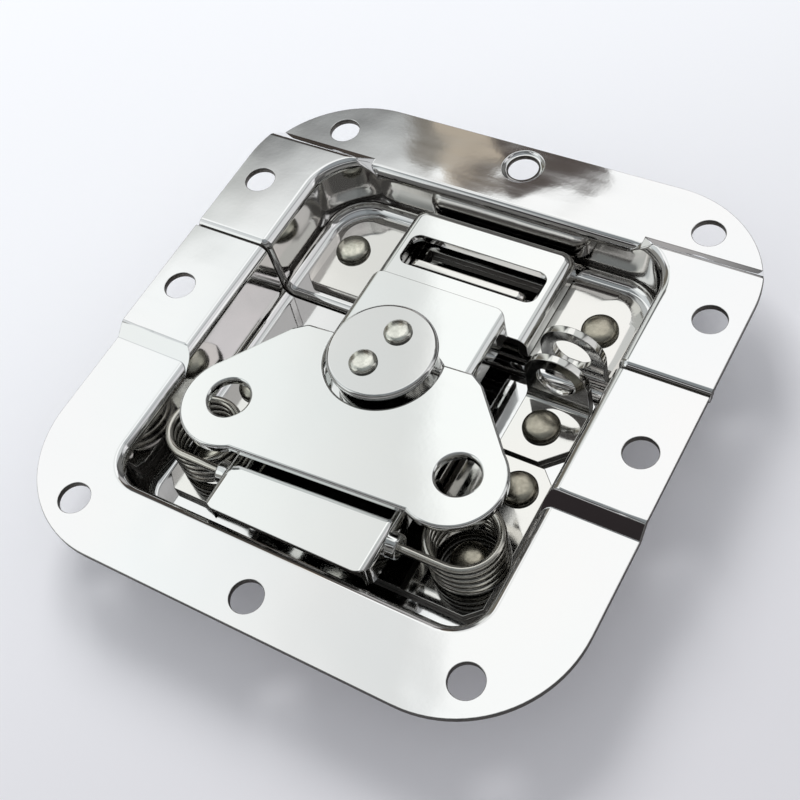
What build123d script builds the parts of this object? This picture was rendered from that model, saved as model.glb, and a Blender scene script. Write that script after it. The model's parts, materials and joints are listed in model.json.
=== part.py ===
from build123d import *
import math
import os

# Recessed butterfly twist latch, shut but not drawn, for the edge of a lidded case.
# Millimetres, +Z up out of the recess, +Y from the latch half towards the keeper half.
# The shapes are drawn with Y = 0 on the parting line and moved to the row's origin when
# they are written, so that the origin is the bottom centre of the whole latch.

# ---- pressed dishes -------------------------------------------------------------
SHEET = 1.2                  # sheet thickness of both dishes
WIDTH = 104.0                # outer width over the flanges
FRONT_REACH = 66.85          # parting line to the front edge of the latch dish
REAR_REACH = 41.3            # parting line to the rear edge of the keeper dish
CORNER_R = 22.0              # outer corners of the flange
FLANGE_Z = 13.0              # top of the low flange above the outside of the floor
JOGGLE_RISE = 2.0            # step from the low flange up to the raised side flanges
JOGGLE_FRONT = 25.0          # parting line to the top of the front step
JOGGLE_REAR = 25.8           # parting line to the top of the rear step
JOGGLE_RUN = 2.6             # length of each sloping step
JOGGLE_BEND = 1.5            # outer bend radius at the top of a step
PAD_INNER_X = 31.0           # half distance between the inner ends of the rear steps
PAD_ROOT_Z = 9.0             # the steps' slopes run out in the walls above this height
TUB_HALF_W = 35.0            # half width of the recess at its floor
TUB_FRONT = 51.5             # parting line to the front wall at the floor
TUB_REAR = 25.2              # parting line to the rear wall at the floor
TUB_FRONT_CORNER_R = 5.4     # front corner radius of the recess at its floor
TUB_REAR_CORNER_R = 8.6      # rear corner radius of the recess at its floor
TUB_DRAFT = 2.3              # wall draft, degrees
MOUTH_BEND = 1.9             # bend radius from flange to wall
FLOOR_BEND = 2.2             # bend radius from wall to floor
KEEPER_FLOOR_RISE = 1.0      # the keeper's floor sits this much above the latch's
LIP_DROP = 2.2               # depth of the keeper's turned edge below its face
LIP_BEND = 1.75              # outer bend radius of the turned edge
PARTING_GAP = 0.25           # gap between the two halves
SCREW_HOLE_R = 2.95          # every fixing hole in the flanges
CORNER_HOLE_X = WIDTH / 2 - 13.7
CORNER_HOLE_FRONT = 58.8
CORNER_HOLE_REAR = 33.1
MIDDLE_HOLE_FRONT = 61.5
MIDDLE_HOLE_REAR = 36.3
SIDE_HOLE_X = WIDTH / 2 - 5.8
SIDE_HOLE_FRONT = 14.0
SIDE_HOLE_REAR = 14.2

# ---- plates riveted to the floors ---------------------------------------------------
PLATE = 1.5                  # thickness of the spring plate, bracket and strike
FLAT_HALF_W = TUB_HALF_W - FLOOR_BEND      # half width of the level part of the floors
PLATE_EDGE_GAP = 0.2         # gap from a plate's edge to the start of the floor bend
SPRING_PLATE_HALF_W = FLAT_HALF_W - 0.8
SPRING_PLATE_FRONT = 46.5
SPRING_PLATE_REAR = 16.6
SPRING_PLATE_CHAMFER = 2.5
STRIKE_HALF_W = FLAT_HALF_W - PLATE_EDGE_GAP
STRIKE_FRONT = 2.7
STRIKE_REAR = TUB_REAR - FLOOR_BEND - PLATE_EDGE_GAP
STRIKE_CORNER_R = 7.0
STRIKE_FRONT_CHAMFER = 2.3
STRIKE_EDGE_RUN = 2.4        # width of the sloping border pressed round the strike
STRIKE_EDGE_DROP = 0.9       # height of that border
CATCH_HALF_W = 12.0          # catch tab turned up out of the strike
CATCH_FRONT = 11.0           # parting line to the tab's front face
CATCH_TOP = 8.0
CATCH_BEND = 1.0             # inside bend at the foot of the tab
WINDOW_LENGTH = 5.6          # length of the window the tab was turned up out of
EAR_X = STRIKE_HALF_W - 6.85  # centre of the padlock ears
EAR_HALF_W = 6.05
EAR_EYE_Z = 8.95             # height of the padlock eyes
EAR_EYE_R = 3.6
EAR_BEND = 1.2               # inside bend at the foot of an ear
BRACKET_FRONT = 15.9         # parting line to the front edge of the bracket's foot
BRACKET_REAR = 2.1           # parting line to the rear face of the bracket's ear
BRACKET_CHAMFER = 4.0

# ---- rivets ----------------------------------------------------------------------
RIVET_HEAD_R = 3.4
RIVET_DOME = 1.5
RIVET_SHANK_R = 1.9
RIVET_TAIL_R = 2.7           # wide end of the countersunk tail
RIVET_TAIL_H = 0.8
RIVET_GAP = 0.03             # radial gap of a set rivet in its hole
STRIKE_RIVET = (STRIKE_HALF_W - 6.3, 12.5)
PLATE_RIVET = (SPRING_PLATE_HALF_W - 4.8, -22.0)
BRACKET_RIVET = (EAR_X - 0.45, -9.4)
SPRING_RIVET = (SPRING_PLATE_HALF_W - 6.0, -37.2)

# ---- springs, whose upper arms are the carrier's hinge pins --------------------------
WIRE_R = 0.8
COIL_X = SPRING_PLATE_HALF_W - 6.0
COIL_Y = -37.1
COIL_R = 6.2                 # mean radius of a coil
COIL_TURNS = 4.5             # full turns and the half turn that leads into the arm
COIL_LIFT = 0.02             # gap under the lowest turn
HINGE_Z = 11.6               # height of the carrier's hinge axis
ARM_END_X = 13.2             # half distance between the ends of the two arms

# ---- carrier ---------------------------------------------------------------------
CARRIER_SHEET = 1.2
CARRIER_TOP = 14.3
CARRIER_LIP_Z = 9.0          # lower edge of the carrier's side walls
CARRIER_HALF_W = 16.1        # half width of the front part, which holds the hinge
CARRIER_NECK_HALF_W = 13.8   # half width of the rear part, which guides the tongue
CARRIER_FRONT = 51.0
CARRIER_STEP = 30.0          # parting line to the change of width
CARRIER_REAR = 3.7
CARRIER_BEND = 1.4
CARRIER_CORNER_R = 2.6
HINGE_CLEAR = 0.08           # radial clearance of the spring arms in the carrier
COLLAR_R = 2.2               # collar pulled outwards round each hinge hole
COLLAR_REACH = 1.8           # how far a collar stands out from the side wall
COLLAR_EASE = 0.5            # rounding of the collar's outer rim

# ---- drum, cap and retaining washer --------------------------------------------------
AXIS_Y = -15.3               # the twist axis
HEAD_R = 9.1
HEAD_Z = 14.6                # underside of the drum's head
HEAD_TOP = 18.9
JOURNAL_R = 7.0
JOURNAL_CLEAR = 0.08         # radial clearance of the drum in the carrier
SHOULDER_Z = 8.6             # end of the journal, just above the tongue
THROW = 2.5                  # offset of the eccentric from the twist axis
ECCENTRIC_R = 4.4
WASHER_R = 8.0
WASHER_Z = 5.2
WASHER_T = 1.0
TENON_R = 2.6
CAP_R = 9.75
CAP_T = 1.5
CAP_EDGE_R = 0.7
CAP_RIVETS = ((1.0, -11.2), (-1.45, -18.9))
CAP_RIVET_R = 2.5
CAP_RIVET_DOME = 1.0
CAP_SHANK_R = 1.4
CAP_SHANK_END = 16.2

# ---- wing ------------------------------------------------------------------------
WING_T = 1.6
WING_Z = 16.6                # underside of the folded wing
WING_EDGE = 0.5              # rounding of every upper edge of the wing
WING_TURN = 3.0              # the wing and its fold axis stand turned this much, in degrees
FOLD_Y = -14.6               # the wing's fold axis
LUG_R = 0.7
LUG_CLEAR = 0.05             # radial clearance of the lugs in the drum
LUG_END_X = 8.1
LUG_ROOT_X = 11.2
NOTCH_R = 10.5
LOBE_X = 21.0
LOBE_Y = -32.4
LOBE_R = 9.2
EYE_X = 21.8
EYE_Y = -31.8
EYE_R = 3.75
WING_FRONT_Y = -40.5
WING_BACK_Y = -13.3
WING_BACK_HALF_W = 16.0
WING_SHOULDER = (18.5, -15.0)
WING_FLANK = (27.95, -26.5)

# ---- draw tongue -----------------------------------------------------------------
TONGUE_T = 1.8
TONGUE_TOP = 8.3
TONGUE_LIP_Z = 4.0           # lower edge of the tongue's turned-down rim
TONGUE_HALF_W = 17.0
TONGUE_FRONT = 2.4           # parting line to the front of the wide head
TONGUE_REAR = 24.5
TONGUE_CORNER_R = 3.0
TONGUE_BEND = 2.0
SLOT_HALF_W = 14.3
SLOT_FRONT = 10.5
SLOT_REAR = 17.7
SLOT_CORNER_R = 2.0
NECK_HALF_W = CARRIER_NECK_HALF_W - CARRIER_SHEET - 0.3
NECK_FRONT = -27.0
NECK_REAR = 6.0
NECK_RAIL_TOP = 10.6         # top of the rails that run inside the carrier's walls
NECK_RAIL_REAR = 0.0
NECK_RAIL_T = 1.4
CROSS_EASE = 0.66            # the eccentric's path less the coupled straight one, plus a gap
CROSS_END_GAP = 0.4

# ---- derived ---------------------------------------------------------------------
ORIGIN_SHIFT = (FRONT_REACH - REAR_REACH) / 2
RAISED_Z = FLANGE_Z + JOGGLE_RISE
LATCH_FLOOR = SHEET
KEEPER_FLOOR = SHEET + KEEPER_FLOOR_RISE
HINGE_Y = COIL_Y - COIL_R
FOLD_Z = WING_Z + WING_T / 2
CAP_TOP = HEAD_TOP + CAP_T
PAST = 9.0                   # how far a cutting or filling block reaches past the work


def slab(x0, x1, y0, y1, z0, z1):
    """Box between two corners."""
    box = Box(x1 - x0, y1 - y0, z1 - z0)
    return Pos((x0 + x1) / 2, (y0 + y1) / 2, (z0 + z1) / 2) * box


def rod_z(x, y, r, z0, z1):
    """Upright cylinder."""
    return Pos(x, y, (z0 + z1) / 2) * Cylinder(r, z1 - z0)


def rod_x(y, z, r, x0, x1):
    """Cylinder along X."""
    return Pos((x0 + x1) / 2, y, z) * Rot(0, 90, 0) * Cylinder(r, x1 - x0)


def rod_y(x, z, r, y0, y1):
    """Cylinder along Y."""
    return Pos(x, (y0 + y1) / 2, z) * Rot(90, 0, 0) * Cylinder(r, y1 - y0)


def upright_edges(shape, points, reach=0.3):
    """Edges parallel to Z that pass near the given plan points."""
    found = []
    for edge in shape.edges().filter_by(Axis.Z):
        centre = edge.center()
        if any(math.hypot(centre.X - x, centre.Y - y) < reach for x, y in points):
            found.append(edge)
    return found


def rounded_plan(x0, x1, y0, y1, r, z0, z1):
    """Prism with a rounded rectangular plan."""
    face = Pos((x0 + x1) / 2, (y0 + y1) / 2, z0) * RectangleRounded(x1 - x0, y1 - y0, r)
    return extrude(face, z1 - z0)


# ---- dishes ----------------------------------------------------------------------
def pad(side, depth):
    """Sloped-sided block that bounds one raised side flange, lowered square to itself."""
    slope = math.atan2(JOGGLE_RISE, JOGGLE_RUN)
    slip = depth * math.tan(slope / 2)
    top_z = RAISED_Z - depth
    layers = []
    for z in (top_z, PAD_ROOT_Z):
        grow = (top_z - z) * JOGGLE_RUN / JOGGLE_RISE - slip
        x0 = PAD_INNER_X - grow
        y0 = -JOGGLE_FRONT - grow
        y1 = JOGGLE_REAR + grow
        face = Pos((x0 + WIDTH) / 2, (y0 + y1) / 2, z) * Rectangle(WIDTH - x0, y1 - y0)
        layers.append(face)
    block = loft(layers, ruled=True)
    rims = [
        edge
        for edge in block.edges()
        if abs(edge.bounding_box().min.Z - top_z) < 0.01 and edge.center().X < WIDTH - 1
    ]
    block = fillet(rims, JOGGLE_BEND - depth)
    if side < 0:
        block = mirror(block, about=Plane.YZ)
    return block


def tub(grow, floor_z, bend):
    """Solid that fills the recess, drafted, with its floor edge rounded."""
    top = RAISED_Z + 2
    plan = Rectangle(2 * (TUB_HALF_W + grow), TUB_FRONT + TUB_REAR + 2 * grow)
    corners = plan.vertices().group_by(Axis.Y)
    plan = fillet(corners[0], TUB_FRONT_CORNER_R + grow)
    plan = fillet(plan.vertices().group_by(Axis.Y)[-1], TUB_REAR_CORNER_R + grow)
    face = Pos(0, (TUB_REAR - TUB_FRONT) / 2, floor_z) * plan
    body = extrude(face, top - floor_z, taper=-TUB_DRAFT)
    floor_edges = [e for e in body.edges() if abs(e.bounding_box().max.Z - floor_z) < 0.01]
    return fillet(floor_edges, bend)


def round_the_mouth(floor_z, face_z, grow, bend):
    """Block with a level face at face_z, the recess sunk in it and the mouth rounded."""
    block = slab(-WIDTH, WIDTH, -FRONT_REACH - PAST, REAR_REACH + PAST, -PAST, face_z)
    block = block - tub(grow, floor_z, FLOOR_BEND + grow)
    rim = []
    for edge in block.edges():
        box = edge.bounding_box()
        if box.min.Z > face_z - 0.01 and box.max.X < WIDTH / 2 and box.min.X > -WIDTH / 2:
            rim.append(edge)
    return fillet(rim, bend)


def under_skin(depth, floor_top):
    """Everything below one face of the sheet: depth 0 is the top face, SHEET the back."""
    floor_z = floor_top - depth
    low = round_the_mouth(floor_z, FLANGE_Z - depth, depth, MOUTH_BEND - depth)
    high = round_the_mouth(floor_z, RAISED_Z - depth, depth, MOUTH_BEND - depth)
    body = low
    for side in (-1, 1):
        body = body + (high & pad(side, depth))
    return body


def whole_dish(floor_top):
    """Both flanges and the recess as one pressed sheet with its floor at floor_top."""
    plan = rounded_plan(
        -WIDTH / 2, WIDTH / 2, -FRONT_REACH, REAR_REACH, CORNER_R, floor_top - SHEET, RAISED_Z + 1
    )
    return (under_skin(0, floor_top) - under_skin(SHEET, floor_top)) & plan


def lip_ring(face, depth, reach):
    """Band of the given depth below the top face, drawn back from the parting line."""
    inner = offset(face, -depth, kind=Kind.INTERSECTION)
    return extrude(face - inner, reach, dir=(0, 1, 0))


def keeper_with_lip(keeper, floor_top):
    """Turn the keeper's parting edge outwards all along flange, walls and floor."""
    block = round_the_mouth(floor_top, RAISED_Z, 0, MOUTH_BEND)
    strip = block & slab(-WIDTH, WIDTH, 0, 1, -PAST, RAISED_Z + 1)
    face = [f for f in strip.faces() if f.bounding_box().max.Y < 0.001][0]
    lip = lip_ring(face, LIP_DROP, SHEET) + lip_ring(face, LIP_BEND, LIP_BEND)
    lip = lip & slab(-WIDTH / 2, WIDTH / 2, 0, LIP_BEND, floor_top - LIP_DROP, RAISED_Z + 1)
    keeper = keeper + lip
    skin = face.outer_wire()
    front = [
        edge
        for edge in keeper.edges()
        if edge.bounding_box().max.Y < 0.001 and skin.distance_to(edge @ 0.5) < 0.01
    ]
    return fillet(front, LIP_BEND - 0.05)


def flange_holes():
    """Round cutters for every fixing hole."""
    spots = []
    for side in (-1, 1):
        spots.append((side * CORNER_HOLE_X, -CORNER_HOLE_FRONT))
        spots.append((side * CORNER_HOLE_X, CORNER_HOLE_REAR))
        spots.append((side * SIDE_HOLE_X, -SIDE_HOLE_FRONT))
        spots.append((side * SIDE_HOLE_X, SIDE_HOLE_REAR))
    spots.append((0, -MIDDLE_HOLE_FRONT))
    spots.append((0, MIDDLE_HOLE_REAR))
    return [rod_z(x, y, SCREW_HOLE_R, FLANGE_Z - 4, RAISED_Z + 2) for x, y in spots]


# ---- rivets ----------------------------------------------------------------------
def dome(x, y, z, r, height):
    """Cap of a sphere standing on z."""
    ball_r = (r * r + height * height) / (2 * height)
    ball = Pos(x, y, z + height - ball_r) * Sphere(ball_r)
    return ball & rod_z(x, y, ball_r + 1, z, z + height + 1)


def tail_cone(x, y, z, gap):
    """Countersunk tail whose wide end is flush at z."""
    cone = Cone(RIVET_TAIL_R + gap, RIVET_SHANK_R + gap, RIVET_TAIL_H)
    return Pos(x, y, z + RIVET_TAIL_H / 2) * cone


def rivet(x, y, seat, foot):
    """Domed rivet from its seat down to a countersunk tail flush at foot."""
    body = dome(x, y, seat, RIVET_HEAD_R, RIVET_DOME)
    body = body + rod_z(x, y, RIVET_SHANK_R, foot, seat + 0.2)
    return body + tail_cone(x, y, foot, 0)


def rivet_hole(x, y, seat, foot):
    """Cutter for a rivet's shank and tail."""
    hole = rod_z(x, y, RIVET_SHANK_R + RIVET_GAP, foot - 1, seat + 1)
    return hole + tail_cone(x, y, foot, RIVET_GAP)


def both_sides(spot):
    """A spot and its mirror image."""
    x, y = spot
    return ((-x, y), (x, y))


# ---- the two dishes -----------------------------------------------------------------
def make_latch_dish():
    """Front half of the recess, with a plain parting edge."""
    dish = whole_dish(LATCH_FLOOR)
    dish = dish & slab(-WIDTH, WIDTH, -FRONT_REACH - 1, -PARTING_GAP, -1, RAISED_Z + 1)
    spots = both_sides(SPRING_RIVET) + both_sides(PLATE_RIVET) + (BRACKET_RIVET,)
    cutters = [rivet_hole(x, y, LATCH_FLOOR, 0) for x, y in spots]
    return dish - flange_holes() - cutters


def make_keeper_dish():
    """Rear half of the recess, with its parting edge turned outwards."""
    dish = whole_dish(KEEPER_FLOOR)
    dish = dish & slab(-WIDTH, WIDTH, 0, REAR_REACH + 1, -1, RAISED_Z + 1)
    dish = keeper_with_lip(dish, KEEPER_FLOOR)
    spots = both_sides(STRIKE_RIVET)
    cutters = [rivet_hole(x, y, KEEPER_FLOOR, KEEPER_FLOOR_RISE) for x, y in spots]
    return dish - flange_holes() - cutters


# ---- plates ----------------------------------------------------------------------
def ear(y0, y1, foot_z):
    """Upright padlock ear with a round top, without its eye."""
    post = slab(EAR_X - EAR_HALF_W, EAR_X + EAR_HALF_W, y0, y1, foot_z, EAR_EYE_Z)
    return post + rod_y(EAR_X, EAR_EYE_Z, EAR_HALF_W, y0, y1)


def ear_eye():
    """Cutter for the eyes of both ears."""
    return rod_y(EAR_X, EAR_EYE_Z, EAR_EYE_R, -8, 8)


def foot_bend(y_face, z_face, toward):
    """Fill for the inside of the bend between a foot and its upright."""
    y_far = y_face + toward * EAR_BEND
    y0, y1 = sorted((y_face, y_far))
    z1 = z_face + EAR_BEND
    fill = slab(EAR_X - EAR_HALF_W, EAR_X + EAR_HALF_W, y0, y1, z_face, z1)
    return fill - rod_x(y_far, z1, EAR_BEND, EAR_X - PAST, EAR_X + PAST)


def round_outer_bend(body, y_face, z_face):
    """Round the outside of the bend between a foot and its upright."""
    heel = [
        edge
        for edge in body.edges().filter_by(Axis.X)
        if abs(edge.center().Y - y_face) < 0.01 and abs(edge.center().Z - z_face) < 0.01
    ]
    return fillet(heel, PLATE + EAR_BEND - 0.3)


def make_spring_plate():
    """Flat plate on the latch floor that carries both springs."""
    plate = slab(
        -SPRING_PLATE_HALF_W,
        SPRING_PLATE_HALF_W,
        -SPRING_PLATE_FRONT,
        -SPRING_PLATE_REAR,
        LATCH_FLOOR,
        LATCH_FLOOR + PLATE,
    )
    corners = [
        (side * SPRING_PLATE_HALF_W, y)
        for side in (-1, 1)
        for y in (-SPRING_PLATE_FRONT, -SPRING_PLATE_REAR)
    ]
    plate = chamfer(upright_edges(plate, corners), SPRING_PLATE_CHAMFER)
    seat = LATCH_FLOOR + PLATE
    spots = both_sides(SPRING_RIVET) + both_sides(PLATE_RIVET)
    return plate - [rivet_hole(x, y, seat, 0) for x, y in spots]


def make_ear_bracket():
    """Angle bracket on the latch floor with the front padlock ear."""
    x0 = EAR_X - EAR_HALF_W
    x1 = EAR_X + EAR_HALF_W
    seat = LATCH_FLOOR + PLATE
    foot = slab(x0, x1, -BRACKET_FRONT, -BRACKET_REAR, LATCH_FLOOR, seat)
    foot = chamfer(upright_edges(foot, [(x1, -BRACKET_FRONT)]), BRACKET_CHAMFER)
    inner_face = -BRACKET_REAR - PLATE
    body = foot + ear(inner_face, -BRACKET_REAR, LATCH_FLOOR)
    body = body + foot_bend(inner_face, seat, -1)
    body = round_outer_bend(body, -BRACKET_REAR, LATCH_FLOOR)
    x, y = BRACKET_RIVET
    return body - ear_eye() - rivet_hole(x, y, seat, 0)


def make_strike_plate():
    """Strike on the keeper floor: pressed border, catch tab and the rear padlock ear."""
    z0 = KEEPER_FLOOR
    seat = z0 + PLATE
    low_z = seat - STRIKE_EDGE_DROP
    plate = slab(-STRIKE_HALF_W, STRIKE_HALF_W, STRIKE_FRONT, STRIKE_REAR, z0, low_z)
    rear = [(side * STRIKE_HALF_W, STRIKE_REAR) for side in (-1, 1)]
    plate = fillet(upright_edges(plate, rear), STRIKE_CORNER_R)
    length = STRIKE_REAR + STRIKE_CORNER_R + STRIKE_EDGE_RUN
    crown = Pos(0, STRIKE_REAR - length / 2, low_z)
    crown = crown * RectangleRounded(2 * STRIKE_HALF_W, length, STRIKE_CORNER_R)
    lean = math.degrees(math.atan2(STRIKE_EDGE_RUN, STRIKE_EDGE_DROP))
    crown = extrude(crown, STRIKE_EDGE_DROP, taper=lean)
    plate = plate + (crown & slab(-WIDTH, WIDTH, STRIKE_FRONT, STRIKE_REAR, low_z, seat))
    front = [(side * STRIKE_HALF_W, STRIKE_FRONT) for side in (-1, 1)]
    for x, y in front:
        corner = Pos(x, y, seat) * Rot(0, 0, 45) * Box(
            STRIKE_FRONT_CHAMFER * math.sqrt(2), STRIKE_FRONT_CHAMFER * math.sqrt(2), PAST
        )
        plate = plate - corner
    window_end = CATCH_FRONT + PLATE + WINDOW_LENGTH
    window = slab(-CATCH_HALF_W, CATCH_HALF_W, CATCH_FRONT + PLATE, window_end, z0 - 1, seat + 1)
    tab = slab(-CATCH_HALF_W, CATCH_HALF_W, CATCH_FRONT, CATCH_FRONT + PLATE, z0, CATCH_TOP)
    tips = [(side * CATCH_HALF_W, CATCH_TOP) for side in (-1, 1)]
    ends = [
        edge
        for edge in tab.edges().filter_by(Axis.Y)
        if any(math.hypot(edge.center().X - x, edge.center().Z - z) < 0.1 for x, z in tips)
    ]
    tab = fillet(ends, 1.5)
    bend = slab(-CATCH_HALF_W, CATCH_HALF_W, CATCH_FRONT - CATCH_BEND, CATCH_FRONT, seat, seat + CATCH_BEND)
    bend = bend - rod_x(CATCH_FRONT - CATCH_BEND, seat + CATCH_BEND, CATCH_BEND, -WIDTH, WIDTH)
    body = plate - window + tab + bend
    inner_face = STRIKE_FRONT + PLATE
    body = body + ear(STRIKE_FRONT, inner_face, z0) + foot_bend(inner_face, seat, 1)
    body = round_outer_bend(body, STRIKE_FRONT, z0)
    spots = both_sides(STRIKE_RIVET)
    return body - ear_eye() - [rivet_hole(x, y, seat, KEEPER_FLOOR_RISE) for x, y in spots]


# ---- springs ---------------------------------------------------------------------
def make_spring(side):
    """Coil spring on its floor plate; its upper arm points inwards as a hinge pin."""
    z0 = LATCH_FLOOR + PLATE + WIRE_R + COIL_LIFT
    pitch = (HINGE_Z - z0) / COIL_TURNS
    helix = Helix(pitch, HINGE_Z - z0, COIL_R, lefthand=True)
    coil = Pos(COIL_X, COIL_Y, z0) * Rot(0, 0, 90) * helix
    ring = Plane(origin=coil @ 0, z_dir=coil % 0) * Circle(WIRE_R)
    end = coil @ 1
    body = sweep(ring, path=coil) + Pos(end.X, end.Y, end.Z) * Sphere(WIRE_R)
    body = body + rod_x(HINGE_Y, HINGE_Z, WIRE_R, ARM_END_X, end.X)
    if side < 0:
        body = mirror(body, about=Plane.YZ)
    return body


# ---- carrier ---------------------------------------------------------------------
def channel(half_w, y0, y1):
    """Plate with both side walls turned down through rounded bends."""
    outer = slab(-half_w, half_w, y0, y1, CARRIER_LIP_Z, CARRIER_TOP)
    top_edges = [
        e for e in outer.edges().filter_by(Axis.Y) if abs(e.center().Z - CARRIER_TOP) < 0.01
    ]
    outer = fillet(top_edges, CARRIER_BEND)
    inner_w = half_w - CARRIER_SHEET
    ceiling = CARRIER_TOP - CARRIER_SHEET
    inner = slab(-inner_w, inner_w, y0 - 1, y1 + 1, CARRIER_LIP_Z - 1, ceiling)
    inner_edges = [e for e in inner.edges().filter_by(Axis.Y) if abs(e.center().Z - ceiling) < 0.01]
    return outer - fillet(inner_edges, CARRIER_BEND - CARRIER_SHEET)


def hinge_collar(side):
    """Collar round a hinge hole, standing out from the side wall, without its bore."""
    root = CARRIER_HALF_W - CARRIER_SHEET / 2
    tip = CARRIER_HALF_W + COLLAR_REACH
    x0, x1 = sorted((side * root, side * tip))
    collar = rod_x(HINGE_Y, HINGE_Z, COLLAR_R, x0, x1)
    rim = [e for e in collar.edges() if abs(e.bounding_box().center().X - side * tip) < 0.01]
    return fillet(rim, COLLAR_EASE)


def make_carrier():
    """Lifting carrier: a stepped channel with the drum's bearing and the hinge holes."""
    front = channel(CARRIER_HALF_W, -CARRIER_FRONT, -CARRIER_STEP)
    front_plan = rounded_plan(
        -CARRIER_HALF_W,
        CARRIER_HALF_W,
        -CARRIER_FRONT,
        -CARRIER_STEP + PAST,
        CARRIER_CORNER_R,
        CARRIER_LIP_Z - 1,
        CARRIER_TOP + 1,
    )
    rear = channel(CARRIER_NECK_HALF_W, -CARRIER_STEP, CARRIER_REAR)
    rear_plan = rounded_plan(
        -CARRIER_NECK_HALF_W,
        CARRIER_NECK_HALF_W,
        -CARRIER_STEP - PAST,
        CARRIER_REAR,
        CARRIER_CORNER_R,
        CARRIER_LIP_Z - 1,
        CARRIER_TOP + 1,
    )
    body = (front & front_plan) + (rear & rear_plan) + hinge_collar(-1) + hinge_collar(1)
    body = body - rod_z(0, AXIS_Y, JOURNAL_R + JOURNAL_CLEAR, CARRIER_LIP_Z, CARRIER_TOP + 1)
    reach = CARRIER_HALF_W + COLLAR_REACH + 1
    return body - rod_x(HINGE_Y, HINGE_Z, WIRE_R + HINGE_CLEAR, -reach, reach)


# ---- drum and what is fixed to it ----------------------------------------------------
def turned(shape):
    """Turn a shape about the twist axis to where the wing stands."""
    return Pos(0, AXIS_Y, 0) * Rot(0, 0, WING_TURN) * Pos(0, -AXIS_Y, 0) * shape


def make_drum():
    """Head, journal, eccentric and tenon turned in one piece, with the wing's lug holes."""
    eccentric_y = AXIS_Y + THROW
    body = rod_z(0, AXIS_Y, HEAD_R, HEAD_Z, HEAD_TOP)
    body = body + rod_z(0, AXIS_Y, JOURNAL_R, SHOULDER_Z, HEAD_Z)
    body = body + rod_z(0, eccentric_y, ECCENTRIC_R, WASHER_Z + WASHER_T, SHOULDER_Z)
    body = body + rod_z(0, eccentric_y, TENON_R, WASHER_Z, WASHER_Z + WASHER_T)
    bore = LUG_R + LUG_CLEAR
    holes = [
        turned(rod_x(FOLD_Y, FOLD_Z, bore, LUG_END_X - 0.3, HEAD_R + 1)),
        turned(rod_x(FOLD_Y, FOLD_Z, bore, -HEAD_R - 1, -LUG_END_X + 0.3)),
    ]
    shank = CAP_SHANK_R + RIVET_GAP
    seats = [rod_z(x, y, shank, CAP_SHANK_END - 0.1, HEAD_TOP + 1) for x, y in CAP_RIVETS]
    return body - holes - seats


def make_drum_washer():
    """Washer held on the tenon, under the tongue."""
    eccentric_y = AXIS_Y + THROW
    body = rod_z(0, eccentric_y, WASHER_R, WASHER_Z, WASHER_Z + WASHER_T)
    return body - rod_z(0, eccentric_y, TENON_R + RIVET_GAP, WASHER_Z - 1, WASHER_Z + WASHER_T + 1)


def make_cap_disc():
    """Round cap over the wing's notch."""
    body = rod_z(0, AXIS_Y, CAP_R, HEAD_TOP, CAP_TOP)
    body = fillet(body.edges().filter_by(GeomType.CIRCLE), CAP_EDGE_R)
    shank = CAP_SHANK_R + RIVET_GAP
    return body - [rod_z(x, y, shank, HEAD_TOP - 1, CAP_TOP + 1) for x, y in CAP_RIVETS]


def make_cap_rivet(index):
    """Small rivet through the cap into the drum."""
    x, y = CAP_RIVETS[index]
    body = dome(x, y, CAP_TOP, CAP_RIVET_R, CAP_RIVET_DOME)
    return body + rod_z(x, y, CAP_SHANK_R, CAP_SHANK_END, CAP_TOP + 0.2)


# ---- wing ------------------------------------------------------------------------
def make_wing():
    """Two-lobed wing with finger eyes, notched round the cap, with its two lugs."""
    half = [
        (0, WING_FRONT_Y),
        (LOBE_X, WING_FRONT_Y),
        WING_FLANK,
        WING_SHOULDER,
        (WING_BACK_HALF_W, WING_BACK_Y),
        (0, WING_BACK_Y),
    ]
    outline = half + [(-x, y) for x, y in reversed(half[1:-1])]
    plate = extrude(Pos(0, 0, WING_Z) * make_face(Polyline(*outline, close=True)), WING_T)
    top = WING_Z + WING_T
    for side in (-1, 1):
        plate = plate + rod_z(side * LOBE_X, LOBE_Y, LOBE_R, WING_Z, top)
    ends = [
        (side * x, y)
        for side in (-1, 1)
        for x, y in (WING_SHOULDER, (WING_BACK_HALF_W, WING_BACK_Y))
    ]
    plate = fillet(upright_edges(plate, ends), 1.6)
    plate = plate - rod_z(0, AXIS_Y, NOTCH_R, WING_Z - 1, top + 1)
    for side in (-1, 1):
        plate = plate - rod_z(side * EYE_X, EYE_Y, EYE_R, WING_Z - 1, top + 1)
    top_edges = [e for e in plate.edges() if e.bounding_box().min.Z > top - 0.01]
    plate = fillet(top_edges, WING_EDGE)
    plate = plate + [
        rod_x(FOLD_Y, FOLD_Z, LUG_R, LUG_END_X, LUG_ROOT_X),
        rod_x(FOLD_Y, FOLD_Z, LUG_R, -LUG_ROOT_X, -LUG_END_X),
    ]
    return turned(plate)


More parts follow.
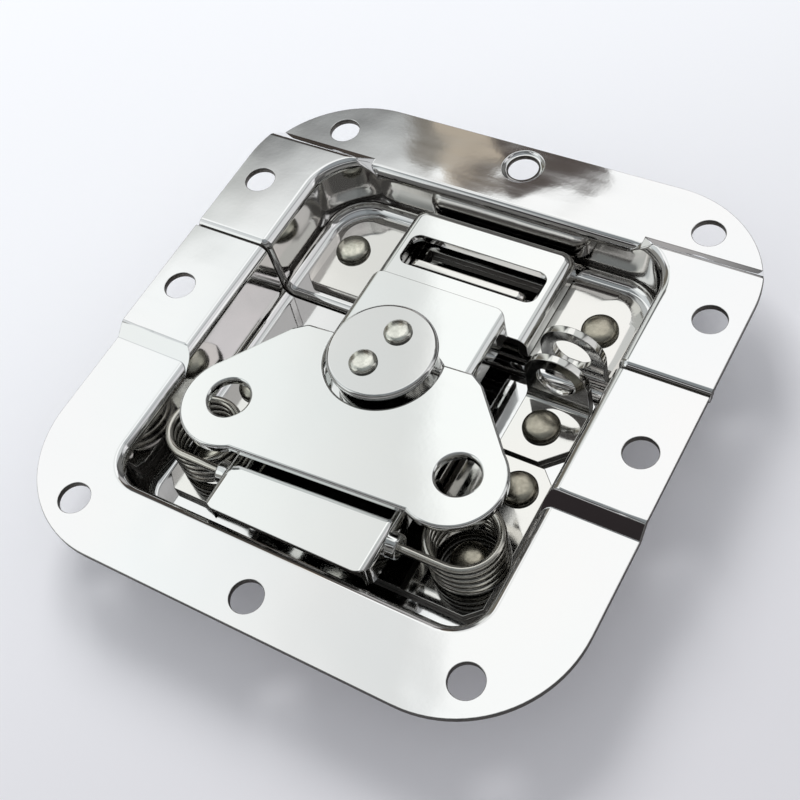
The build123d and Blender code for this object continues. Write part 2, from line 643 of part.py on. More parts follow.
# ---- draw tongue -----------------------------------------------------------------
def make_draw_tongue():
    """Slotted hook plate with a turned-down rim and a railed neck under the carrier."""
    under = TONGUE_TOP - TONGUE_T
    head = slab(
        -TONGUE_HALF_W, TONGUE_HALF_W, TONGUE_FRONT, TONGUE_REAR, TONGUE_LIP_Z, TONGUE_TOP
    )
    corners = [(side * TONGUE_HALF_W, TONGUE_REAR) for side in (-1, 1)]
    head = fillet(upright_edges(head, corners), TONGUE_CORNER_R)
    rim = []
    for edge in head.edges():
        box = edge.bounding_box()
        if box.min.Z > TONGUE_TOP - 0.01 and box.max.Y > TONGUE_FRONT + 0.01:
            rim.append(edge)
    head = fillet(rim, TONGUE_BEND)
    hollow = rounded_plan(
        -TONGUE_HALF_W + TONGUE_T,
        TONGUE_HALF_W - TONGUE_T,
        TONGUE_FRONT - 5,
        TONGUE_REAR - TONGUE_T,
        TONGUE_CORNER_R - TONGUE_T,
        TONGUE_LIP_Z - 1,
        under,
    )
    head = head - hollow
    neck = slab(-NECK_HALF_W, NECK_HALF_W, NECK_FRONT, NECK_REAR, under, TONGUE_TOP)
    front = [(side * NECK_HALF_W, NECK_FRONT) for side in (-1, 1)]
    neck = chamfer(upright_edges(neck, front), 3)
    rail_front = NECK_FRONT + 3
    for side in (-1, 1):
        x0, x1 = sorted((side * NECK_HALF_W, side * (NECK_HALF_W - NECK_RAIL_T)))
        neck = neck + slab(x0, x1, rail_front, NECK_RAIL_REAR, TONGUE_TOP, NECK_RAIL_TOP)
    slot = rounded_plan(
        -SLOT_HALF_W, SLOT_HALF_W, SLOT_FRONT, SLOT_REAR, SLOT_CORNER_R, under - 1, TONGUE_TOP + 1
    )
    half_x = THROW + ECCENTRIC_R + CROSS_END_GAP
    half_y = ECCENTRIC_R + CROSS_EASE
    mid_y = AXIS_Y + THROW
    cross = rounded_plan(
        -half_x, half_x, mid_y - half_y, mid_y + half_y, half_y - 0.02, under - 1, TONGUE_TOP + 1
    )
    return head + neck - slot - cross


# ---- write every piece -----------------------------------------------------------
def write(name, shape):
    """Move a piece to the row's origin and write it."""
    placed = Pos(0, ORIGIN_SHIFT, 0) * shape
    placed.label = name
    export_step(placed, os.path.join("parts", name + ".step"))


os.makedirs("parts", exist_ok=True)
write("latch_dish", make_latch_dish())
write("keeper_dish", make_keeper_dish())
write("spring_plate", make_spring_plate())
write("ear_bracket", make_ear_bracket())
write("strike_plate", make_strike_plate())
write("carrier", make_carrier())
write("draw_tongue", make_draw_tongue())
write("drum", make_drum())
write("drum_washer", make_drum_washer())
write("cap_disc", make_cap_disc())
write("cap_rivet_rear", make_cap_rivet(0))
write("cap_rivet_front", make_cap_rivet(1))
write("wing", make_wing())
for word, side in (("left", -1), ("right", 1)):
    write("spring_" + word, make_spring(side))
    x, y = SPRING_RIVET
    write("spring_rivet_" + word, rivet(side * x, y, LATCH_FLOOR + PLATE, 0))
    x, y = PLATE_RIVET
    write("plate_rivet_" + word, rivet(side * x, y, LATCH_FLOOR + PLATE, 0))
    x, y = STRIKE_RIVET
    write("strike_rivet_" + word, rivet(side * x, y, KEEPER_FLOOR + PLATE, KEEPER_FLOOR_RISE))
x, y = BRACKET_RIVET
write("bracket_rivet", rivet(x, y, LATCH_FLOOR + PLATE, 0))
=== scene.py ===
# %% [markdown]
# # A recessed butterfly latch in Blender
# The latch is two pressed and plated steel dishes with a twist latch riveted inside.
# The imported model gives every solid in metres, in one frame. This script loads it, keeps its
# sizes, and dresses it: rounded sheet edges, set rivets, wound springs and plated finishes.

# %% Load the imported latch
import json
import math

import bmesh
import bpy
from mathutils import Matrix, Vector
from mathutils.bvhtree import BVHTree


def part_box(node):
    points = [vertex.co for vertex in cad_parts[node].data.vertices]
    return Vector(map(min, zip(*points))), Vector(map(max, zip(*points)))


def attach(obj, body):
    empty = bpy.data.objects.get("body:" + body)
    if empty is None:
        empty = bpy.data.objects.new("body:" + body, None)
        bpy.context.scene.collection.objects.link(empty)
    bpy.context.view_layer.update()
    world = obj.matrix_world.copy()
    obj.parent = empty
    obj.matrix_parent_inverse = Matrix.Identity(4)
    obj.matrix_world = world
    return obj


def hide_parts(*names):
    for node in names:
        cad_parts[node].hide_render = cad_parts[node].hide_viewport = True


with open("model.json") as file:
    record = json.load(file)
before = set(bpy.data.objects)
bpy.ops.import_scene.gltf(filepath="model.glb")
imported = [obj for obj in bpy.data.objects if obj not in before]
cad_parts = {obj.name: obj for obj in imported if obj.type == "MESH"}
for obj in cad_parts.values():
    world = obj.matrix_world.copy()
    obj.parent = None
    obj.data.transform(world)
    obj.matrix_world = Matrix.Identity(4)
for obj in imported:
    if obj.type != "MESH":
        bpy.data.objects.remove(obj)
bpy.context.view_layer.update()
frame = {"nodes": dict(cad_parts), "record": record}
nodes = frame["nodes"]

# %% [markdown]
# ## Small tools
# Colours are written as sRGB hex values, as a paint chart gives them, and Blender works in
# linear light, so one function turns one into the other. A second one adds a shader node with
# its settings, its values and its links, so that each material reads as a short list.

# %% Colour and node helpers
MM = 0.001


def linear(hex_colour):
    """sRGB hex to linear RGBA."""
    out = []
    for i in (1, 3, 5):
        c = int(hex_colour[i : i + 2], 16) / 255
        out.append(c / 12.92 if c <= 0.04045 else ((c + 0.055) / 1.055) ** 2.4)
    return (*out, 1.0)


def add(tree, kind, settings=None, values=None, links=None):
    """One node with its settings, its input values and its incoming links."""
    node = tree.nodes.new(kind)
    for key, value in (settings or {}).items():
        setattr(node, key, value)
    for key, value in (values or {}).items():
        node.inputs[key].default_value = value
    for key, source in (links or {}).items():
        tree.links.new(source, node.inputs[key])
    return node


print("one millimetre is", MM, "m")

# %% [markdown]
# ## The camera
# A lens of 58.5 mm from about 22 cm looks down into the recess from the front right corner.
# The latch lies a little turned in the picture, which a roll of the camera gives.

# %% Set the camera
AZIMUTH, ELEVATION, ROLL = (math.radians(a) for a in (44.6, 54.5, -18.15))
TARGET = Vector((4.41, -6.50, 13.0)) * MM
DISTANCE = 221.33 * MM
LENS_MM, FILM_MM, NEAR_M = 58.52, 36, 0.01

side = Vector((math.sin(AZIMUTH), -math.cos(AZIMUTH), 0))
back = side * math.cos(ELEVATION) + Vector((0, 0, math.sin(ELEVATION)))
level = Vector((math.cos(AZIMUTH), math.sin(AZIMUTH), 0))
rise = back.cross(level)
across = level * math.cos(ROLL) + rise * math.sin(ROLL)
upright = rise * math.cos(ROLL) - level * math.sin(ROLL)
turn = Matrix((across, upright, back)).transposed().to_4x4()
camera = bpy.data.objects.new("camera", bpy.data.cameras.new("camera"))
camera.data.lens = LENS_MM
camera.data.sensor_width = FILM_MM
camera.data.clip_start = NEAR_M
camera.matrix_world = Matrix.Translation(TARGET + back * DISTANCE) @ turn
bpy.context.scene.collection.objects.link(camera)
bpy.context.scene.camera = camera
bpy.context.scene.view_settings.view_transform = "Standard"
print("camera at", [round(v, 3) for v in camera.location])

# %% [markdown]
# ## The floor
# The latch lies on a pale paper sweep. Paper is a matt diffuser, and its own colour makes the
# pale background. That colour is painted a little darker towards the front right, as painted
# shade for the fall of the light. A small share of what the camera and the metal see of it is
# plain brightness, given with Light Path, so that the latch's shadow never turns black.

# %% Floor
SWEEP = 4.0  # metres from the middle to each side
FLOOR_Z = -0.3 * MM  # a hair under the dishes, so that nothing shares a plane with it
PAINTED_SHADE_TOWARDS = (0.80, -0.60, 0.0)  # painted shade: the paper's colour darkens a little this way, over FADE metres
FADE = (-0.09, 0.11)
OWN_GLOW = 0.04
corners = [(-SWEEP, -SWEEP), (SWEEP, -SWEEP), (SWEEP, SWEEP), (-SWEEP, SWEEP)]
floor_mesh = bpy.data.meshes.new("floor")
floor_mesh.from_pydata([(x, y, FLOOR_Z) for x, y in corners], [], [(0, 1, 2, 3)])
floor = bpy.data.objects.new("floor", floor_mesh)
bpy.context.scene.collection.objects.link(floor)

paper = bpy.data.materials.new("white paper sweep")
paper.use_nodes = True
tree = paper.node_tree
tree.nodes.clear()
place = add(tree, "ShaderNodeTexCoord").outputs["Object"]
slant = add(
    tree,
    "ShaderNodeVectorMath",
    settings={"operation": "DOT_PRODUCT"},
    values={1: PAINTED_SHADE_TOWARDS},
    links={0: place},
)
# painted shade: the paper's colour is darker towards the front right, for the fall of the light
painted_falloff = add(
    tree,
    "ShaderNodeMapRange",
    settings={"interpolation_type": "SMOOTHSTEP"},
    values={"From Min": FADE[0], "From Max": FADE[1]},
    links={"Value": slant.outputs["Value"]},
)
tone = add(
    tree,
    "ShaderNodeMix",
    settings={"data_type": "RGBA"},
    values={6: linear("#FBFCFE"), 7: linear("#E6E5E8")},
    links={0: painted_falloff.outputs["Result"]},
).outputs[2]
sheet = add(tree, "ShaderNodeBsdfDiffuse", values={"Roughness": 0.4}, links={"Color": tone})
glow = add(tree, "ShaderNodeEmission", values={"Strength": 1.0}, links={"Color": tone})
path = add(tree, "ShaderNodeLightPath").outputs
seen = add(
    tree,
    "ShaderNodeMath",
    settings={"operation": "MAXIMUM"},
    links={0: path["Is Camera Ray"], 1: path["Is Glossy Ray"]},
)
share = add(
    tree,
    "ShaderNodeMath",
    settings={"operation": "MULTIPLY"},
    values={1: OWN_GLOW},
    links={0: seen.outputs[0]},
)
blend = add(
    tree,
    "ShaderNodeMixShader",
    links={0: share.outputs[0], 1: sheet.outputs[0], 2: glow.outputs[0]},
)
add(tree, "ShaderNodeOutputMaterial", links={"Surface": blend.outputs[0]})
floor_mesh.materials.append(paper)
print("floor is", 2 * SWEEP, "m wide")

# %% [markdown]
# ## The light
# Bright plating has hardly any colour of its own: it shows what stands round it. A product
# studio gives it one large pale panel for the level faces, a few smaller ones for the bends,
# and darkness between them for the crisp black lines. These panels are painted in the world's
# light by compass direction and height, so that no lamp shape has to be built. The compass is
# counted in degrees to the left of +Y, and the height in degrees above the floor.

# %% Compass and height of a ray
world = bpy.data.worlds.new("studio")
world.use_nodes = True
bpy.context.scene.world = world
tree = world.node_tree
tree.nodes.clear()
axes = add(
    tree,
    "ShaderNodeSeparateXYZ",
    links={0: add(tree, "ShaderNodeTexCoord").outputs["Generated"]},
)
leftward = add(
    tree,
    "ShaderNodeMath",
    settings={"operation": "MULTIPLY"},
    values={1: -1.0},
    links={0: axes.outputs["X"]},
)
bearing = add(
    tree,
    "ShaderNodeMath",
    settings={"operation": "ARCTAN2"},
    links={0: leftward.outputs[0], 1: axes.outputs["Y"]},
)
compass = add(
    tree,
    "ShaderNodeMath",
    settings={"operation": "DEGREES"},
    links={0: bearing.outputs[0]},
).outputs[0]
arc = add(tree, "ShaderNodeMath", settings={"operation": "ARCSINE"}, links={0: axes.outputs["Z"]})
height = add(
    tree,
    "ShaderNodeMath",
    settings={"operation": "DEGREES"},
    links={0: arc.outputs[0]},
).outputs[0]
print("compass and height ready")

# %% [markdown]
# Each panel has a middle and a half width in both directions, a soft border and a colour. Its
# mask is two smooth steps multiplied, one over the compass and one over the height. A later
# panel covers the earlier ones: the last five, a doorway and a curtain with its seams, give the
# rear flange its brown and dark bands.

# %% Panels
DARK_ROOM = (0.075, 0.095)  # grey of the bare room, at the floor and above 60 degrees
PANELS = (
    # compass, half, height, half, border, colour
    ("overhead", 0, 400, 85, 22, 10, "#8B8F92"),  # all the way round
    ("left wall", 105, 42, 15, 17, 5, "#868682"),
    ("rear wall", -138, 40, 14, 13, 5, "#80807E"),
    ("right wall", -16, 16, 26, 20, 5, "#6E6E6C"),
    ("left panel", 108, 31, 47, 15, 4, "#CDD2D2"),
    ("left lamp", 130, 14, 35, 12, 3, "#F2F6F4"),
    ("left gap", 148, 4, 50, 8, 2, "#303232"),
    ("front wall", 165, 14, 28, 18, 5, "#6C6C6A"),
    ("front beam", 162, 11, 40, 5, 2, "#2B2728"),
    ("front shade", 154, 9, 61, 5, 2, "#4C4A4A"),
    ("right shoulder", -8, 28, 62, 11, 4, "#CCCFCF"),
    ("right panel", -51, 11, 48, 16, 4, "#C4C5C6"),
    ("right window", -58, 6, 45, 5, 3, "#F6F2F5"),
    ("far wall", 20, 7, 25, 14, 3, "#AEACAB"),
    ("right strip", -57, 9, 24, 20, 4, "#D6D7D8"),
    ("right lamp", -65, 3, 22, 10, 3, "#FFFFFF"),
    ("right corner", -82, 12, 42, 16, 5, "#6E6D6C"),
    ("front tube", -170, 95, 52, 1.8, 1.2, "#DCDDDE"),
    ("main panel", 45, 32, 58, 15, 3, "#FFFFFF"),
    ("far corner", 65, 6, 20, 21, 4, "#6A665C"),
    ("left strip", 54, 4.0, 22, 21, 3, "#DADDD9"),
    ("dark doorway", 33.7, 5.4, 24, 19, 0.7, "#4A433E"),
    ("curtain end", 38.0, 1.2, 43.4, 1.7, 0.4, "#8B857D"),
    ("curtain", 35.5, 1.9, 43.9, 2.3, 0.4, "#B3A798"),
    ("curtain hem", 34.6, 2.2, 46.1, 0.5, 0.4, "#6E665F"),
    ("curtain shade", 31.2, 3.0, 45.5, 1.5, 0.3, "#544D4A"),
)
picture = add(
    tree,
    "ShaderNodeMapRange",
    values={"From Min": 0.0, "From Max": 60.0, "To Min": DARK_ROOM[0], "To Max": DARK_ROOM[1]},
    links={"Value": height},
).outputs["Result"]
for name, bearing_at, bearing_half, height_at, height_half, border, colour in PANELS:
    masks = []
    for value, middle, half, wrap in (
        (compass, bearing_at, bearing_half, 360),
        (height, height_at, height_half, 1000),
    ):
        off = add(
            tree,
            "ShaderNodeMath",
            settings={"operation": "SUBTRACT"},
            values={1: middle},
            links={0: value},
        )
        near = add(
            tree,
            "ShaderNodeMath",
            settings={"operation": "WRAP"},
            values={1: wrap / 2, 2: -wrap / 2},
            links={0: off.outputs[0]},
        )
        size = add(
            tree,
            "ShaderNodeMath",
            settings={"operation": "ABSOLUTE"},
            links={0: near.outputs[0]},
        )
        step = add(
            tree,
            "ShaderNodeMapRange",
            settings={"interpolation_type": "SMOOTHSTEP"},
            values={"From Min": half - border, "From Max": half + border, "To Min": 1.0, "To Max": 0.0},
            links={"Value": size.outputs[0]},
        )
        masks.append(step.outputs["Result"])
    mask = add(
        tree,
        "ShaderNodeMath",
        settings={"operation": "MULTIPLY"},
        links={0: masks[0], 1: masks[1]},
    )
    over = add(
        tree,
        "ShaderNodeMix",
        settings={"data_type": "RGBA", "label": name},
        values={7: linear(colour)},
        links={0: mask.outputs[0], 6: picture},
    )
    picture = over.outputs[2]
print("panels", len(PANELS))

# %% [markdown]
# The main panel is not even: its lamp stands to the right, so the panel is brightest there,
# drops at a fold in the cloth and grows again towards the far left. The fold is straight in the
# room, so it is a straight line on a ceiling plane, where a direction is divided by its height.

# %% Shade the main panel
ACROSS_FOLD = (0.877, 0.48, 0.0)
FOLD_SPAN = (-0.60, 0.20)
FOLD_TINT = (0.985, 1.008, 0.997)  # the cloth is a little green in the fold
# place in the span, brightness
FOLD = (
    (0.0, 1.0), (0.20, 0.98), (0.34, 0.90), (0.43, 0.81),
    (0.51, 0.765), (0.53, 0.80), (0.555, 1.0), (1.0, 1.0),
)
ceiling = []
for axis in ("X", "Y"):
    ratio = add(
        tree,
        "ShaderNodeMath",
        settings={"operation": "DIVIDE"},
        links={0: axes.outputs[axis], 1: axes.outputs["Z"]},
    )
    ceiling.append(ratio.outputs[0])
from_fold = add(
    tree,
    "ShaderNodeVectorMath",
    settings={"operation": "DOT_PRODUCT"},
    values={1: ACROSS_FOLD},
)
spot = add(tree, "ShaderNodeCombineXYZ", links={0: ceiling[0], 1: ceiling[1]})
tree.links.new(spot.outputs[0], from_fold.inputs[0])
shade = add(tree, "ShaderNodeValToRGB")
offset = add(
    tree,
    "ShaderNodeMapRange",
    values={"From Min": FOLD_SPAN[0], "From Max": FOLD_SPAN[1]},
    links={"Value": from_fold.outputs["Value"]},
)
tree.links.new(offset.outputs["Result"], shade.inputs[0])
stops = shade.color_ramp.elements
stops[0].position, stops[0].color = FOLD[0][0], (FOLD[0][1],) * 3 + (1,)
stops[1].position, stops[1].color = FOLD[-1][0], (FOLD[-1][1],) * 3 + (1,)
for place, value in FOLD[1:-1]:
    stops.new(place).color = (*(value * tint for tint in FOLD_TINT), 1)
shaded = add(
    tree,
    "ShaderNodeMix",
    settings={"data_type": "RGBA", "blend_type": "MULTIPLY"},
    values={0: 1.0},
    links={6: picture, 7: shade.outputs["Color"]},
)
print("fold stops", len(stops))

# %% [markdown]
# Only the metal sees the panels. The camera sees a plain pale backdrop beyond the paper, and
# matt surfaces are lit by a plain soft dome and one softbox from the back left, at a level where
# a white renders about as it is written.

# %% Dome and softbox
path = add(tree, "ShaderNodeLightPath").outputs
PANEL_LEVEL, DOME_LEVEL = 1.10, 0.62
SOFTBOX_M, SOFTBOX_W = 0.53, 8.7
panels = add(
    tree,
    "ShaderNodeBackground",
    values={"Strength": PANEL_LEVEL},
    links={"Color": shaded.outputs[2]},
)
dome = add(tree, "ShaderNodeBackground", values={"Color": linear("#F4F6FA"), "Strength": DOME_LEVEL})
both = add(
    tree,
    "ShaderNodeMixShader",
    links={0: path["Is Glossy Ray"], 1: dome.outputs[0], 2: panels.outputs[0]},
)
backdrop = add(tree, "ShaderNodeBackground", values={"Color": linear("#F1F2F5"), "Strength": 1.0})
whole = add(
    tree,
    "ShaderNodeMixShader",
    links={0: path["Is Camera Ray"], 1: both.outputs[0], 2: backdrop.outputs[0]},
)
add(tree, "ShaderNodeOutputWorld", links={"Surface": whole.outputs[0]})

lamp = bpy.data.lights.new("softbox", "AREA")
lamp.size = SOFTBOX_M
lamp.energy = SOFTBOX_W
softbox = bpy.data.objects.new("softbox", lamp)
place = Vector((-0.57, 0.63, 0.75))
aimed = (-place).to_track_quat("-Z", "Y").to_matrix().to_4x4()
softbox.matrix_world = Matrix.Translation(place) @ aimed
softbox.visible_glossy = False
bpy.context.scene.collection.objects.link(softbox)
print("softbox", round(place.length, 2), "m away")

# %% [markdown]
# ## Plated finishes
# The sheet parts are low-carbon steel, pressed, then plated with nickel over a bright copper
# layer and buffed. That gives the eye a mirror with four kinds of marks: a slow drift between a
# cool and a warm white where the plating is thicker, waves left by the press, a fine orange peel
# with wiping marks, and duller metal at each edge. The edges and the creases are also painted
# darker, as painted shade. A sheared face is different again: the punch tears it, so it stays
# rough, and it is painted near black, as a painted reflection of the dark room. One function
# mixes these for all the plated sheet parts, because they hung on the same rack, and only the
# values differ.

# %% Marks on a plated sheet
DRIFT_MM = 30.0  # thicker and thinner plating, over a few centimetres
PEEL_MM, PEEL_DEPTH_MM = 0.9, 0.0012  # orange peel of the buffed steel
WIPE_MM = 2.5  # wiping marks, drawn as wide as they need to show
DRAW_MM, DRAW_DEPTH_MM = 0.7, 0.002  # lines that the die draws up a wall
TEAR_MM, TEAR_DEPTH_MM = 0.35, 0.030  # grain of a sheared face
WEAR_AND_SHADE_MM = 0.22  # how far the wear and the painted shade reach from an edge


def plate_marks(tree, place, drawn):
    """How worn and shaded at an edge or crease, how much of a drawn wall and how sheared each point is,
    from 0 to 1.
    """
    # the Bevel node finds convex edges and concave creases alike; both are darkened, as wear and as
    # painted shade
    rounded = add(tree, "ShaderNodeBevel", settings={"samples": 4}, values={"Radius": WEAR_AND_SHADE_MM * MM})
    straight = add(tree, "ShaderNodeNewGeometry").outputs["Normal"]
    agree = add(
        tree,
        "ShaderNodeVectorMath",
        settings={"operation": "DOT_PRODUCT"},
        links={0: rounded.outputs[0], 1: straight},
    )
    worn_and_shaded = add(
        tree,
        "ShaderNodeMapRange",
        values={"From Min": 0.995, "From Max": 0.86, "To Min": 0.0, "To Max": 0.75},
        links={"Value": agree.outputs["Value"]},
    )
    normal = add(tree, "ShaderNodeSeparateXYZ", links={0: place["Normal"]})
    level = add(
        tree,
        "ShaderNodeMath",
        settings={"operation": "ABSOLUTE"},
        links={0: normal.outputs["Z"]},
    )
    wall = add(
        tree,
        "ShaderNodeMapRange",
        values={"From Min": 0.80, "From Max": 0.25, "To Min": 0.0, "To Max": drawn},
        links={"Value": level.outputs[0]},
    )
    cut = add(tree, "ShaderNodeAttribute", settings={"attribute_name": "sheared"})
    return worn_and_shaded.outputs["Result"], wall.outputs["Result"], cut.outputs["Fac"]


print("wear reaches", WEAR_AND_SHADE_MM, "mm from an edge")

# %% [markdown]
# The colour is laid on in this order: the bath first, then the wear of the edges with painted
# shade along the edges and in the creases, the die's marks on the walls and the punch's torn
# faces. The sheared faces are painted near black, as a painted reflection, so a dark line runs
# along each edge of the sheet.

# %% Colour of a plated sheet
def plate_colour(tree, place, cool, warm, worn_and_shaded, wall, cut):
    """Cool and warm drifts, then the dull edges and creases with painted shade, the drawn wall and the
    sheared faces painted dark.
    """
    drift = add(
        tree,
        "ShaderNodeTexNoise",
        values={"Scale": 1000 / DRIFT_MM, "Detail": 2.0},
        links={"Vector": place["Object"]},
    )
    grain = add(
        tree,
        "ShaderNodeTexNoise",
        values={"Scale": 1000 / TEAR_MM, "Detail": 3.0},
        links={"Vector": place["Object"]},
    )
    # painted reflection: sheared faces are painted near black, for the dark room that their sides
    # mirror
    torn_painted_dark = add(
        tree,
        "ShaderNodeMix",
        settings={"data_type": "RGBA"},
        values={6: linear("#3A3735"), 7: linear("#6A6661")},
        links={0: grain.outputs["Fac"]},
    )
    surface = add(
        tree,
        "ShaderNodeMix",
        settings={"data_type": "RGBA"},
        values={6: linear(cool), 7: linear(warm)},
        links={0: drift.outputs["Fac"]},
    )
    # 8E8A86 is wear and painted shade at edges and creases; sheared faces take the near-black painted
    # reflection
    for mark, colour in ((worn_and_shaded, "#8E8A86"), (wall, "#DEDCDA"), (cut, None)):
        over = add(
            tree,
            "ShaderNodeMix",
            settings={"data_type": "RGBA"},
            links={0: mark, 6: surface.outputs[2]},
        )
        if colour:
            over.inputs[7].default_value = linear(colour)
        else:
            tree.links.new(torn_painted_dark.outputs[2], over.inputs[7])
        surface = over
    return surface.outputs[2]


print("torn grain", TEAR_MM, "mm")

# %% [markdown]
# A buffing wheel wipes one way, so the noise of the roughness is drawn out along X. The relief is
# far finer than the sheet is thick, so it stays a bump: press waves, orange peel, the lines that
# the die draws up a wall, and the torn grain.

# %% Roughness and relief of a plated sheet
def plate_roughness(tree, place, rough, worn_and_shaded, wall, cut):
    """Wiping marks, a duller edge and wall, and rough sheared faces."""
    long_way = add(
        tree,
        "ShaderNodeMapping",
        values={"Scale": (0.16, 1.0, 1.0)},
        links={"Vector": place["Object"]},
    )
    wiped = add(
        tree,
        "ShaderNodeTexNoise",
        values={"Scale": 1000 / WIPE_MM, "Detail": 3.0},
        links={"Vector": long_way.outputs[0]},
    )
    sheen = add(
        tree,
        "ShaderNodeMapRange",
        values={"From Min": 0.3, "From Max": 0.7, "To Min": rough * 0.6, "To Max": rough * 1.5},
        links={"Value": wiped.outputs["Fac"]},
    )
    for mark, amount in ((worn_and_shaded, 0.20), (wall, 0.035), (cut, 0.40)):
        sheen = add(
            tree,
            "ShaderNodeMath",
            settings={"operation": "MULTIPLY_ADD"},
            values={1: amount},
            links={0: mark, 2: sheen.outputs[0]},
        )
    return sheen.outputs[0]


def plate_relief(tree, place, wave_mm, wave_depth_mm, wall, cut):
    """Press waves, orange peel, the lines up the walls and the torn grain, as one normal."""
    upright = add(
        tree,
        "ShaderNodeMapping",
        values={"Scale": (1.0, 1.0, 0.06)},
        links={"Vector": place["Object"]},
    )
    normal_so_far = None
    for vector, size_mm, depth_mm, detail, mark in (
        (place["Object"], wave_mm, wave_depth_mm, 1.0, None),
        (place["Object"], PEEL_MM, PEEL_DEPTH_MM, 1.0, None),
        (upright.outputs[0], DRAW_MM, DRAW_DEPTH_MM, 2.0, wall),
        (place["Object"], TEAR_MM, TEAR_DEPTH_MM, 2.0, cut),
    ):
        relief = add(
            tree,
            "ShaderNodeTexNoise",
            values={"Scale": 1000 / size_mm, "Detail": detail},
            links={"Vector": vector},
        )
        bump = add(
            tree,
            "ShaderNodeBump",
            values={"Strength": 1.0, "Distance": depth_mm * MM},
            links={"Height": relief.outputs["Fac"]},
        )
        if mark is not None:
            tree.links.new(mark, bump.inputs["Strength"])
        if normal_so_far is not None:
            tree.links.new(normal_so_far, bump.inputs["Normal"])
        normal_so_far = bump.outputs["Normal"]
    return normal_so_far


print("wiping marks", WIPE_MM, "mm wide")

# %% [markdown]
# Four finishes come off this rack. They differ in how deep the part was drawn, how long it was
# buffed and how thick the plate is.

# %% Plated finishes
def plated(name, cool, warm, rough, wave_mm, wave_depth_mm, drawn):
    """Nickel plate on pressed steel; drawn says how far its walls are marked by the die."""
    material = bpy.data.materials.new(name)
    material.use_nodes = True
    tree = material.node_tree
    shader = tree.nodes["Principled BSDF"]
    shader.inputs["Metallic"].default_value = 1.0
    place = add(tree, "ShaderNodeTexCoord").outputs
    worn_and_shaded, wall, cut = plate_marks(tree, place, drawn)
    for key, source in (
        ("Base Color", plate_colour(tree, place, cool, warm, worn_and_shaded, wall, cut)),
        ("Roughness", plate_roughness(tree, place, rough, worn_and_shaded, wall, cut)),
        ("Normal", plate_relief(tree, place, wave_mm, wave_depth_mm, wall, cut)),
    ):
        tree.links.new(source, shader.inputs[key])
    return material


finish = {
    # the dishes are deep drawn, so the press leaves longer and deeper waves and marks the walls
    "plated_sheet": plated(
        "bright nickel plate on deep drawn steel sheet",
        cool="#EBEEF0", warm="#F2EFEE", rough=0.05, wave_mm=14.0, wave_depth_mm=0.10, drawn=1.0,
    ),
    # the small plates are only stamped: shorter, shallower waves
    "plated_plate": plated(
        "bright nickel plate on stamped steel plate",
        cool="#E4E6E4", warm="#EEE9E4", rough=0.07, wave_mm=10.0, wave_depth_mm=0.06, drawn=0.6,
    ),
    # the parts that a hand touches are buffed longer
    "bright_plate": plated(
        "buffed nickel plate on stamped steel",
        cool="#ECF0F0", warm="#F3F1EF", rough=0.04, wave_mm=16.0, wave_depth_mm=0.06, drawn=0.3,
    ),
    # the cap is the smallest and flattest of them
    "bright_cap": plated(
        "buffed nickel plate on a pressed cap",
        cool="#E0E3E3", warm="#EAE7E5", rough=0.05, wave_mm=12.0, wave_depth_mm=0.04, drawn=0.3,
    ),
}
print("plated finishes", sorted(finish))

# %% [markdown]
# ### Turned steel
# The drum and its washer are turned on a lathe before they are plated. The tool leaves fine
# rings round the twist axis, which stretch a highlight across them. Rings on the end face follow
# the radius and rings on the side follow the height, so the sum of the two serves both.

# %% Turned steel
TOOL_FEED_MM = 0.45  # a real feed is near 0.1 mm, too fine to show at this distance
TOOL_DEPTH_MM = 0.002
GREY_MM = 6.0  # size of the paler and darker patches
twist = next(joint for joint in frame["record"]["behaviour"]["joints"] if joint["name"] == "drum_twist")
steel = bpy.data.materials.new("nickel plate on turned steel")
steel.use_nodes = True
tree = steel.node_tree
shader = tree.nodes["Principled BSDF"]
shader.inputs["Metallic"].default_value = 1.0
place = add(tree, "ShaderNodeTexCoord").outputs
middle = (-twist["pos_m"][0], -twist["pos_m"][1], 0.0)
centred = add(tree, "ShaderNodeMapping", values={"Location": middle}, links={"Vector": place["Object"]})
split = add(tree, "ShaderNodeSeparateXYZ", links={0: centred.outputs[0]}).outputs
flat = add(tree, "ShaderNodeCombineXYZ", links={0: split["X"], 1: split["Y"]})
reach = add(tree, "ShaderNodeVectorMath", settings={"operation": "LENGTH"}, links={0: flat.outputs[0]})
both = add(
    tree,
    "ShaderNodeMath",
    settings={"operation": "ADD"},
    links={0: reach.outputs["Value"], 1: split["Z"]},
)
phase = add(
    tree,
    "ShaderNodeMath",
    settings={"operation": "MULTIPLY"},
    values={1: 2 * math.pi * 1000 / TOOL_FEED_MM},
    links={0: both.outputs[0]},
)
rings = add(tree, "ShaderNodeMath", settings={"operation": "SINE"}, links={0: phase.outputs[0]})
grey = add(
    tree,
    "ShaderNodeTexNoise",
    values={"Scale": 1000 / GREY_MM, "Detail": 3.0},
    links={"Vector": place["Object"]},
)
tint = add(
    tree,
    "ShaderNodeMix",
    settings={"data_type": "RGBA"},
    values={6: linear("#CFCFCD"), 7: linear("#E2E0DC")},
    links={0: grey.outputs["Fac"]},
)
tree.links.new(tint.outputs[2], shader.inputs["Base Color"])
spread = add(
    tree,
    "ShaderNodeMapRange",
    values={"From Min": 0.3, "From Max": 0.7, "To Min": 0.08, "To Max": 0.18},
    links={"Value": grey.outputs["Fac"]},
)
tree.links.new(spread.outputs["Result"], shader.inputs["Roughness"])
cuts = add(
    tree,
    "ShaderNodeBump",
    values={"Strength": 1.0, "Distance": TOOL_DEPTH_MM * MM},
    links={"Height": rings.outputs[0]},
)
tree.links.new(cuts.outputs["Normal"], shader.inputs["Normal"])
finish["turned_steel"] = steel
print("turned about", [round(v, 4) for v in twist["pos_m"]])

